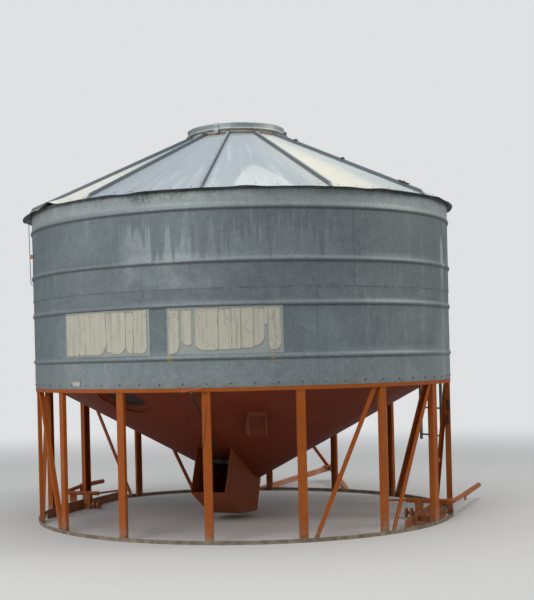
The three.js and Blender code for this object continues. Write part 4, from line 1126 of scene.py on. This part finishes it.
class SILO_OT_wall_bolts(bpy.types.Operator):
    """Bolt rows at the wall's foot, lap and seams, and the lap strips of the seams."""

    bl_idname = "silo.wall_bolts"
    bl_label = "Wall bolts"

    def execute(self, context):
        sizes = context.scene.silo_sizes
        foot = Shape()
        for k in range(sizes.foot_bolts):
            azimuth = k * 360 / sizes.foot_bolts
            seat = wall_seat(azimuth + 0.35 * math.sin(k * 12.9), sizes.foot_bolt_height)
            foot.hex_bolt(seat, outward(azimuth), sizes.bolt_size, k)
        foot.build("wall_foot_bolts", "bolt_steel")
        lap = Shape()
        lap_height = LAP_BOTTOM + 0.012
        for k in range(sizes.lap_bolts):
            azimuth = (k + 0.5) * 360 / sizes.lap_bolts
            seat = polar(azimuth, wall_radius(azimuth, lap_height), lap_height)
            lap.round_screw(seat, outward(azimuth), sizes.screw_size * 0.62)
        lap.build("wall_lap_screws", "weathered_wall_zinc")
        strips = Shape()
        screws = Shape()
        lower = (LOWER_SEAM, WALL_FOOT + 0.001, LAP_BOTTOM - 0.001)
        upper = (UPPER_SEAM, LAP_BOTTOM + 0.002, WALL_HEAD - 0.012)
        for seam, low, high in (lower, upper):
            for azimuth in (seam, seam + 180):
                self.strip(strips, azimuth, low, high)
                self.seam_screws(screws, azimuth - 0.45, low, high, sizes.screw_size * 0.6)
        strips.build("wall_seam_laps", "weathered_wall_zinc")
        screws.build("wall_seam_screws", "weathered_wall_zinc")
        return {"FINISHED"}

    def strip(self, shape, azimuth, low, high):
        """The overlapping edge of one sheet, which follows the swages."""
        half = math.degrees(0.03 / SHELL_RADIUS)
        thickness, lift = 2 * MM, 2.2 * MM
        rings = []
        for height in stations((low, high), 90):
            sides = (azimuth - 2.2 * half, azimuth + 0.2 * half)
            places = [(side, wall_radius(side, height) + swage_rise(height) + lift, height) for side in sides]
            rings.append(skin(places, thickness))
        shape.loft(rings)

    def seam_screws(self, shape, azimuth, low, high, size):
        """One row of screws up a seam."""
        margin, spacing = 0.03, 0.055
        count = int((high - low) / spacing)
        for height in stations((low + margin, high - margin), count - 1):
            seat = wall_seat(azimuth, height) + outward(azimuth) * 0.0018
            shape.round_screw(seat, outward(azimuth), size)


class SILO_OT_roof_screws(bpy.types.Operator):
    """Screws along the eave and the ribs, and rusty clips on two ribs."""

    bl_idname = "silo.roof_screws"
    bl_label = "Roof screws"

    def execute(self, context):
        sizes = context.scene.silo_sizes
        screw_radii = (0.62, 0.98, 1.36, 1.74, 2.1)
        clipped_ribs = (2, 8)
        clip_radii_and_lengths = ((0.75, 0.03), (1.3, 0.03), (1.97, 0.11))
        eave = Shape()
        clips = Shape()
        ribs = Shape()
        for panel in range(360 // RIB_SPACING):
            rib = FIRST_RIB + panel * RIB_SPACING
            up = roof_up(rib)
            for k in range(sizes.eave_screws):
                azimuth = rib + (k + 0.5) * RIB_SPACING / sizes.eave_screws
                seat = roof_surface(azimuth, EAVE_RADIUS - 0.045)
                eave.round_screw(seat, roof_up(azimuth), sizes.screw_size * 0.8)
            for radius in screw_radii:
                seat = roof_surface(rib, radius) + up * (RIB_HEIGHT + 0.0002)
                ribs.round_screw(seat, up, sizes.screw_size * 0.75)
            if panel in clipped_ribs:
                for radius, length in clip_radii_and_lengths:
                    seat = roof_surface(rib, radius) + up * (RIB_HEIGHT + 0.004)
                    clips.block(seat, (along(rib), roof_down(rib), up), (0.05, length, 0.008), 3 * MM)
                    clips.hex_bolt(seat + up * 0.004, up, 0.013)
            head = roof_surface(rib, ROOF_INNER + 0.05) + up * (RIB_HEIGHT + 0.0015)
            clips.hex_bolt(head, up, 0.014, panel)
        eave.build("eave_screws", "bolt_steel")
        ribs.build("rib_screws", "bright_roof_zinc")
        clips.build("rib_clips", "rusted_steel")
        return {"FINISHED"}


# Azimuths of the two wall panels' sides
LEFT_PANEL = (-29.4, -2.7)
RIGHT_PANEL = (2.7, 29.3)
# Pieces of film on each panel: left and right edge, head and foot as shares of the panel, then how round the
# corners are: foot left, foot right, head left, head right, in millimetres
LEFT_FILM = (
    (0.002, 0.129, 0.04, 0.985, 22, 24, 4, 4), (0.131, 0.189, 0.03, 0.985, 14, 18, 3, 3),
    (0.191, 0.281, 0.03, 0.975, 28, 26, 3, 6), (0.283, 0.549, 0.02, 0.975, 18, 96, 5, 10),
    (0.552, 0.602, 0.05, 0.930, 40, 4, 3, 14), (0.604, 0.768, 0.03, 0.965, 16, 80, 12, 22),
    (0.771, 0.852, 0.05, 0.965, 62, 8, 10, 30), (0.856, 0.988, 0.01, 0.965, 16, 50, 3, 3),
)
RIGHT_FILM = (
    (0.000, 0.094, 0.04, 0.995, 3, 66, 3, 16), (0.117, 0.210, 0.05, 0.81, 46, 16, 3, 10),
    (0.237, 0.442, 0.03, 0.93, 78, 10, 8, 3), (0.446, 0.560, 0.05, 0.925, 10, 8, 40, 4),
    (0.563, 0.640, 0.03, 0.915, 8, 12, 6, 10), (0.646, 0.752, 0.03, 0.90, 10, 14, 14, 3),
    (0.757, 0.852, 0.05, 0.86, 12, 94, 3, 24), (0.856, 0.880, 0.01, 0.40, 6, 10, 4, 4),
    (0.886, 0.992, 0.02, 0.945, 34, 46, 10, 36),
)
# Cracks in the film: points as shares of the panel, across and down
LEFT_CRACKS = (
    ((0.03, 0.07), (0.08, 0.11), (0.12, 0.08)), ((0.14, 0.10), (0.18, 0.07)),
    ((0.30, 0.08), (0.36, 0.11), (0.44, 0.06)), ((0.46, 0.05), (0.52, 0.12), (0.50, 0.22)),
    ((0.40, 0.30), (0.405, 0.95)), ((0.905, 0.05), (0.898, 0.62)), ((0.945, 0.10), (0.948, 0.90)),
    ((0.68, 0.10), (0.70, 0.24), (0.74, 0.30)), ((0.06, 0.20), (0.063, 0.66)),
)
RIGHT_CRACKS = (
    ((0.002, 0.10), (0.04, 0.14), (0.09, 0.15)), ((0.004, 0.22), (0.04, 0.18), (0.09, 0.20)),
    ((0.01, 0.36), (0.028, 0.44), (0.02, 0.54)),
    ((0.26, 0.10), (0.28, 0.24), (0.26, 0.38), (0.285, 0.52), (0.26, 0.68)),
    ((0.25, 0.05), (0.31, 0.09), (0.39, 0.06), (0.44, 0.08)), ((0.33, 0.72), (0.36, 0.80), (0.34, 0.90)),
    ((0.50, 0.08), (0.52, 0.20), (0.505, 0.34), (0.53, 0.46)),
    ((0.60, 0.06), (0.59, 0.28), (0.61, 0.46), (0.60, 0.88)),
    ((0.70, 0.30), (0.675, 0.42), (0.70, 0.54), (0.735, 0.60)), ((0.80, 0.08), (0.79, 0.40), (0.80, 0.66)),
    ((0.915, 0.04), (0.928, 0.16), (0.924, 0.36), (0.945, 0.50), (0.985, 0.54)),
    ((0.945, 0.58), (0.962, 0.68), (0.988, 0.60)), ((0.962, 0.68), (0.943, 0.80), (0.930, 0.92)),
    ((0.962, 0.68), (0.988, 0.80)),
)
# The primed ground, which reaches past the film by a margin in degrees, and the film: how far their outer
# faces stand off the wall, and how thick they are
GROUND_MARGIN = 0.45
GROUND_FACE = 1.2 * MM
GROUND_THICKNESS = 0.9 * MM
FILM_FACE = 2.7 * MM
FILM_THICKNESS = 1.1 * MM


class SILO_OT_wall_panels(bpy.types.Operator):
    """Two bare panels of flaking cream film on the wall, with the primed ground under them."""

    bl_idname = "silo.wall_panels"
    bl_label = "Wall panels"

    def execute(self, context):
        sizes = context.scene.silo_sizes
        ground = Shape()
        flakes = Shape()
        edges = Shape()
        head = sizes.panel_top
        height = head - sizes.panel_bottom
        levels = (sizes.panel_bottom - 0.006, head + 0.01)
        for (start, end), pieces, cracks in (
            (LEFT_PANEL, LEFT_FILM, LEFT_CRACKS), (RIGHT_PANEL, RIGHT_FILM, RIGHT_CRACKS),
        ):
            span = end - start
            self.ground(ground, (start - GROUND_MARGIN, end + GROUND_MARGIN), levels)
            for index, (left, right, top, foot, *corners) in enumerate(pieces):
                sides = (start + left * span, start + right * span)
                self.film(flakes, edges, sides, (head - foot * height, head - top * height), corners, index,
                          sizes.film_lift)
            for points in cracks:
                self.crack(edges, [(start + u * span, head - v * height) for u, v in points])
        ground.build("panel_grounds", "panel_backing")
        flakes.build("panel_film_flakes", "cream_film", smooth=50)
        edges.build("panel_film_edges", "film_edge_finish")
        return {"FINISHED"}

    def ground(self, shape, sides, levels):
        """The primed ground of one panel, which follows the wall."""
        rings = []
        for azimuth in stations(sides, 48):
            heights = stations(levels, 9)
            places = [(azimuth, wall_radius(azimuth, height) + GROUND_FACE, height) for height in heights]
            rings.append(skin(places, GROUND_THICKNESS))
        shape.loft(rings)

    def corner(self, from_left, from_right, left, right):
        """How far a rounded corner draws an edge in, at a distance from both sides."""
        cut = 0.0
        for distance, size in ((from_left, left * MM), (from_right, right * MM)):
            if distance < size:
                cut = max(cut, size * (1 - math.sqrt(1 - (1 - distance / size) ** 2)))
        return cut

    def film(self, shape, edges, sides, levels, corners, index, lift):
        """One piece of film with rounded corners, a ragged head, curling edges and browned ends."""
        start, end = sides
        bottom, top = levels
        width = math.radians(end - start) * SHELL_RADIUS
        steps, rows = 22, 16
        rings = []
        for k in range(steps + 1):
            share = 0.5 - 0.5 * math.cos(math.pi * k / steps)
            azimuth = start + (end - start) * share
            side = 2 * share - 1
            near, far = share * width, (1 - share) * width
            foot = bottom + self.corner(near, far, *corners[:2])
            foot += 0.004 * noise.noise(Vector((azimuth * 1.6, index, 0)))
            head = top - self.corner(near, far, *corners[2:])
            head += 0.012 * noise.noise(Vector((azimuth * 1.6, index, 4)))
            sway = 0.11 if abs(side) > 0.5 else 0.044
            places = []
            for j in range(rows + 1):
                down = j / rows
                height = head + (foot - head) * down
                turned = azimuth + sway * noise.noise(Vector((index * 3.1 + side, height * 22, 1)))
                edge = max(abs(side) ** 8, down ** 18, (1 - down) ** 22)
                curl = lift * edge * (0.5 + 0.5 * noise.noise(Vector((azimuth, height * 14, index))))
                places.append((turned, wall_radius(turned, height) + FILM_FACE + max(0.0, curl), height))
            rings.append(skin(places, FILM_THICKNESS))
        shape.loft(rings)
        edges.tube([ring[0] for ring in rings], 1.2 * MM, 5)
        edges.tube([ring[rows] for ring in rings], 1.5 * MM, 5)

    def crack(self, shape, points):
        """A thin dark crack that wanders between its points."""
        path = []
        for (a1, h1), (a2, h2) in zip(points, points[1:]):
            for share in stations((0, 1), 8)[:-1]:
                shake = noise.noise(Vector((a1 * 3 + share * 4, h1 * 9, 2)))
                azimuth = a1 + (a2 - a1) * share + 0.09 * shake
                height = h1 + (h2 - h1) * share + 0.0035 * shake
                path.append(polar(azimuth, wall_radius(azimuth, height) + 0.003, height))
        shape.tube(path, 1.3 * MM, 5)


class SILO_OT_small_plate(bpy.types.Operator):
    """Small bare plate near the wall's foot."""

    bl_idname = "silo.small_plate"
    bl_label = "Small plate"

    def execute(self, context):
        middle, low, high, half = -25.75, 1.391, 1.449, 0.056
        face = wall_radius(middle, low)
        axes = (along(middle), UP, outward(middle))
        plate = Shape()
        top = Shape()
        for shape, bottom, head in ((plate, low, high - 0.019), (top, high - 0.0188, high)):
            centre = polar(middle, face + 0.0032, (bottom + head) / 2)
            shape.block(centre, axes, (2 * half, head - bottom, 3 * MM), 4 * MM)
        for aside in (-half + 0.01, half - 0.01):
            plate.round_screw(polar(middle, face + 0.0046, low + 0.01, aside), outward(middle), 4 * MM)
        plate.build("small_plate", "plate_white")
        top.build("small_plate_top", "plate_red")
        return {"FINISHED"}


class SILO_OT_frame_bolts(bpy.types.Operator):
    """Bolts and weld beads of the legs, and a cleat, a thin wire and a catch on one leg each."""

    bl_idname = "silo.frame_bolts"
    bl_label = "Frame bolts"

    def execute(self, context):
        bolt_aside, bolt_size, beam_flange, bead_setback = 24 * MM, 16 * MM, 6.2 * MM, 4 * MM
        bolts = Shape()
        beads = Shape()
        for number in range(1, LEG_COUNT + 1):
            azimuth = leg_azimuth(number)
            for aside in (-bolt_aside, bolt_aside):
                seat = polar(azimuth, LEG_MIDDLE, RING_BOTTOM + beam_flange, aside)
                bolts.hex_bolt(seat, UP, bolt_size, number - 1)
            width = (WHEEL_LEG_WIDTH if number in WHEEL_LEGS else LEG_WIDTH) - bead_setback
            path = []
            for i, aside in enumerate(stations((-width / 2, width / 2), 20)):
                height = RING_BOTTOM - 0.003 + 0.0012 * math.sin(3.1 * i + number)
                path.append(polar(azimuth, LEG_FACE + 0.0004, height, aside))
            beads.tube(path, 4.2 * MM, 6)
        bolts.build("leg_bolts", "bolt_steel")
        beads.build("leg_weld_beads", "frame_paint")
        self.cleat(leg_azimuth(4))
        self.wire(leg_azimuth(1))
        self.catch(leg_azimuth(5))
        return {"FINISHED"}

    def cleat(self, azimuth):
        """A small block on the leg's side."""
        length = 0.06
        middle = polar(azimuth, LEG_MIDDLE, 0.6, (WHEEL_LEG_WIDTH + length) / 2 + TOUCH)
        cleat = Shape()
        cleat.block(middle, (along(azimuth), outward(azimuth), UP), (length, 0.04, 0.03), 4 * MM)
        cleat.build("leg_cleat", "frame_paint")

    def wire(self, azimuth):
        """A thin wire that hangs down the leg's face."""
        wire = Shape()
        wire.tube([
            polar(azimuth, LEG_FACE + 0.0022, 1.215 - 0.375 * share, 0.002 - 0.036 * share ** 1.6)
            for share in stations((0, 1), 12)
        ], 2 * MM, 6)
        wire.build("leg_wire", "dark_steel_finish")

    def catch(self, azimuth):
        """Two bolted blocks on the leg's side, with a bent bar between them."""
        catch = Shape()
        side = -WHEEL_LEG_WIDTH / 2 - TOUCH
        for low, high, back in ((1.04, 1.15, 0.022), (0.9, 0.99, 0.03)):
            centre = polar(azimuth, LEG_FACE - back, (low + high) / 2, side - 0.009)
            catch.block(centre, (outward(azimuth), along(azimuth), UP), (0.024, 0.018, high - low), 4 * MM)
            catch.hex_bolt(polar(azimuth, LEG_FACE - back, high - 0.02, side - 0.018), -along(azimuth), 0.016)
        catch.tube([
            polar(azimuth, LEG_FACE - 0.026 + 0.01 * math.sin(height * 30), height, side - 0.008)
            for height in stations((1.05, 0.97), 4)
        ], 4 * MM, 6)
        catch.build("leg_catch", "dark_steel_finish")


class SILO_OT_cone_fittings(bpy.types.Operator):
    """Bent wire on the cone."""

    bl_idname = "silo.cone_fittings"
    bl_label = "Cone fittings"

    def execute(self, context):
        foot, rise, depth = 0.278, 0.547, 2.2 * MM
        corners = [(0.007, -1.894), (0.019, -1.570), (-0.101, -1.286)]
        path = []
        for (x1, y1), (x2, y2) in zip(corners, corners[1:]):
            for share in stations((0, 1), 10)[:-1]:
                x, y = x1 + (x2 - x1) * share, y1 + (y2 - y1) * share
                path.append(AXIS + Vector((x, y, foot + rise * math.hypot(x, y) - depth)))
        wire = Shape()
        wire.tube(path, 3 * MM, 6)
        wire.build("cone_wire", "rusted_steel")
        return {"FINISHED"}


class SILO_OT_side_rod(bpy.types.Operator):
    """Thin rod with its cleat on the far left of the wall."""

    bl_idname = "silo.side_rod"
    bl_label = "Side rod"

    def execute(self, context):
        azimuth = -55
        places = ((2.176, 3.065), (2.176, 2.99), (2.172, 2.7), (2.168, 2.42), (2.16, 2.405), (2.142, 2.4))
        rod = Shape()
        rod.tube([polar(azimuth, radius, height) for radius, height in places], 4 * MM, 8)
        rod.build("side_rod", "dusty_pale_zinc")
        cleat = Shape()
        axes = (along(azimuth), outward(azimuth), UP)
        cleat.block(polar(azimuth, 2.156, 2.685), axes, (0.034, 0.034, 0.04), 4 * MM)
        cleat.build("side_rod_cleat", "bleached_paint")
        return {"FINISHED"}


# Camera in millimetres, degrees and pixels, found from the photograph's round edges and legs
CAMERA_PLACE = (4144, -12159, 1587)
CAMERA_YAW = -21.92
CAMERA_PITCH = 0.11
CAMERA_ROLL = -1.37
FOCAL_PIXELS = 1170.6
IMAGE_HEIGHT = 600
CENTRE_OFFSET = (-70, 60)


class SILO_OT_stage(bpy.types.Operator):
    """Pale floor, soft light and the camera."""

    bl_idname = "silo.stage"
    bl_label = "Stage"

    def execute(self, context):
        stage = context.scene.silo_stage
        self.floor(stage.floor_tone)
        self.sky(context, stage.sky_strength)
        self.light("top_light", (0.5, -1.5, 11), (0, 0, 0), 12, stage.top_power, (1.0, 0.99, 0.97))
        self.light("key_light", (-2, -13, 8), (0, -0.6, 1.5), 6, stage.key_power, (1.0, 0.96, 0.9))
        self.light("side_light", (11, 3, 8), (0.6, -0.6, 3), 5, stage.side_power, (1.0, 0.93, 0.8))
        self.light("fill_light", (-10, -7, 2.6), (-0.5, -0.6, 1.6), 5, stage.fill_power, (1.0, 0.99, 0.97))
        self.camera(context)
        context.scene.view_settings.view_transform = "Standard"
        return {"FINISHED"}

    def floor(self, value):
        """A disc that fades out away from the silo."""
        coat = Coat("pale_floor", (value, value * 0.99, value * 0.965, 1))
        coat.lay(coat.noise(0.6, 4.0), (value * 1.06, value * 1.05, value * 1.03, 1))
        reach = coat.node("ShaderNodeVectorMath", "Value", {0: coat.stretched(1.0, 0.0)}, operation="LENGTH")
        coat.set({"Base Color": coat.color, "Roughness": 0.85, "Alpha": reach.step(15.0, 4.5)})
        sides, radius, sink = 64, 40, 0.5 * MM
        ring = circle(-UP * sink, Vector((1, 0, 0)), Vector((0, 1, 0)), radius, sides)
        mesh = bpy.data.meshes.new("floor")
        mesh.from_pydata([tuple(point) for point in ring], [], [tuple(range(sides))])
        mesh.materials.append(coat.material)
        floor = bpy.data.objects.new("floor", mesh)
        bpy.context.scene.collection.objects.link(floor)

    def sky(self, context, strength):
        """Even light that is paler where the camera sees it."""
        world = bpy.data.worlds.new("soft sky")
        world.use_nodes = True
        context.scene.world = world
        tree = Tree(world.node_tree)
        seen = tree.node("ShaderNodeLightPath", "Is Camera Ray")
        rise = tree.split(tree.node("ShaderNodeTexCoord", "Generated"))[2]
        sky = tree.mix(rise.step(-0.05, 0.9), (0.36, 0.39, 0.42, 1), (0.8, 0.87, 0.95, 1))
        color = tree.mix(seen, tree.scaled(sky, strength), (0.74, 0.75, 0.76, 1))
        tree.feed(world.node_tree.nodes["Background"].inputs["Color"], color)

    def light(self, name, place, target, size, power, color):
        """A round area light that looks at a target."""
        lamp = bpy.data.lights.new(name, "AREA")
        lamp.shape = "DISK"
        lamp.size = size
        lamp.energy = power
        lamp.color = color
        holder = bpy.data.objects.new(name, lamp)
        holder.location = place
        aim = Vector(target) - Vector(place)
        holder.rotation_euler = aim.to_track_quat("-Z", "Y").to_euler()
        bpy.context.scene.collection.objects.link(holder)

    def camera(self, context):
        """The camera of the render, whose middle is moved off the picture's."""
        lens = bpy.data.cameras.new("photograph_view")
        lens.sensor_width = 36
        lens.lens = FOCAL_PIXELS / IMAGE_HEIGHT * lens.sensor_width
        lens.shift_x = -CENTRE_OFFSET[0] / IMAGE_HEIGHT
        lens.shift_y = CENTRE_OFFSET[1] / IMAGE_HEIGHT
        lens.clip_end = 200
        yaw, pitch, roll = (math.radians(value) for value in (CAMERA_YAW, CAMERA_PITCH, CAMERA_ROLL))
        ahead = Vector((math.sin(yaw) * math.cos(pitch), math.cos(yaw) * math.cos(pitch), math.sin(pitch)))
        right = Vector((math.cos(yaw), -math.sin(yaw), 0))
        up = right.cross(ahead)
        turned_right = right * math.cos(roll) + up * math.sin(roll)
        turned_up = up * math.cos(roll) - right * math.sin(roll)
        matrix = Matrix((turned_right, turned_up, -ahead)).transposed().to_4x4()
        matrix.translation = Vector(CAMERA_PLACE) * MM
        holder = bpy.data.objects.new("photograph_view", lens)
        holder.matrix_world = matrix
        context.scene.collection.objects.link(holder)
        context.scene.camera = holder


OPERATORS = (
    SILO_OT_finishes,
    SILO_OT_wall_sheets,
    SILO_OT_roof_sheets,
    SILO_OT_cone_and_boot,
    SILO_OT_frame_steel,
    SILO_OT_ladder,
    SILO_OT_filling_hole,
    SILO_OT_wall_bolts,
    SILO_OT_roof_screws,
    SILO_OT_wall_panels,
    SILO_OT_small_plate,
    SILO_OT_frame_bolts,
    SILO_OT_cone_fittings,
    SILO_OT_side_rod,
    SILO_OT_stage,
)


class SILO_PT_panel(bpy.types.Panel):
    """Lists the settings and the steps that make the silo."""

    bl_idname = "SILO_PT_panel"
    bl_label = "Grain silo"
    bl_space_type = "VIEW_3D"
    bl_region_type = "UI"
    bl_category = "Silo"

    def draw(self, context):
        layout = self.layout
        for settings in (context.scene.silo_sizes, context.scene.silo_colors, context.scene.silo_stage):
            column = layout.column(align=True)
            for name in settings.__annotations__:
                column.prop(settings, name)
        column = layout.column(align=True)
        for operator in OPERATORS:
            column.operator(operator.bl_idname)


CLASSES = (SiloColors, SiloSizes, SiloStage, *OPERATORS, SILO_PT_panel)


def register():
    for cls in CLASSES:
        bpy.utils.register_class(cls)
    bpy.types.Scene.silo_colors = PointerProperty(type=SiloColors)
    bpy.types.Scene.silo_sizes = PointerProperty(type=SiloSizes)
    bpy.types.Scene.silo_stage = PointerProperty(type=SiloStage)


def unregister():
    for name in ("silo_stage", "silo_sizes", "silo_colors"):
        delattr(bpy.types.Scene, name)
    for cls in reversed(CLASSES):
        bpy.utils.unregister_class(cls)


def main():
    """Makes every piece."""
    register()
    for operator in OPERATORS:
        group, name = operator.bl_idname.split(".")
        getattr(getattr(bpy.ops, group), name)()


if __name__ == "__main__":
    main()
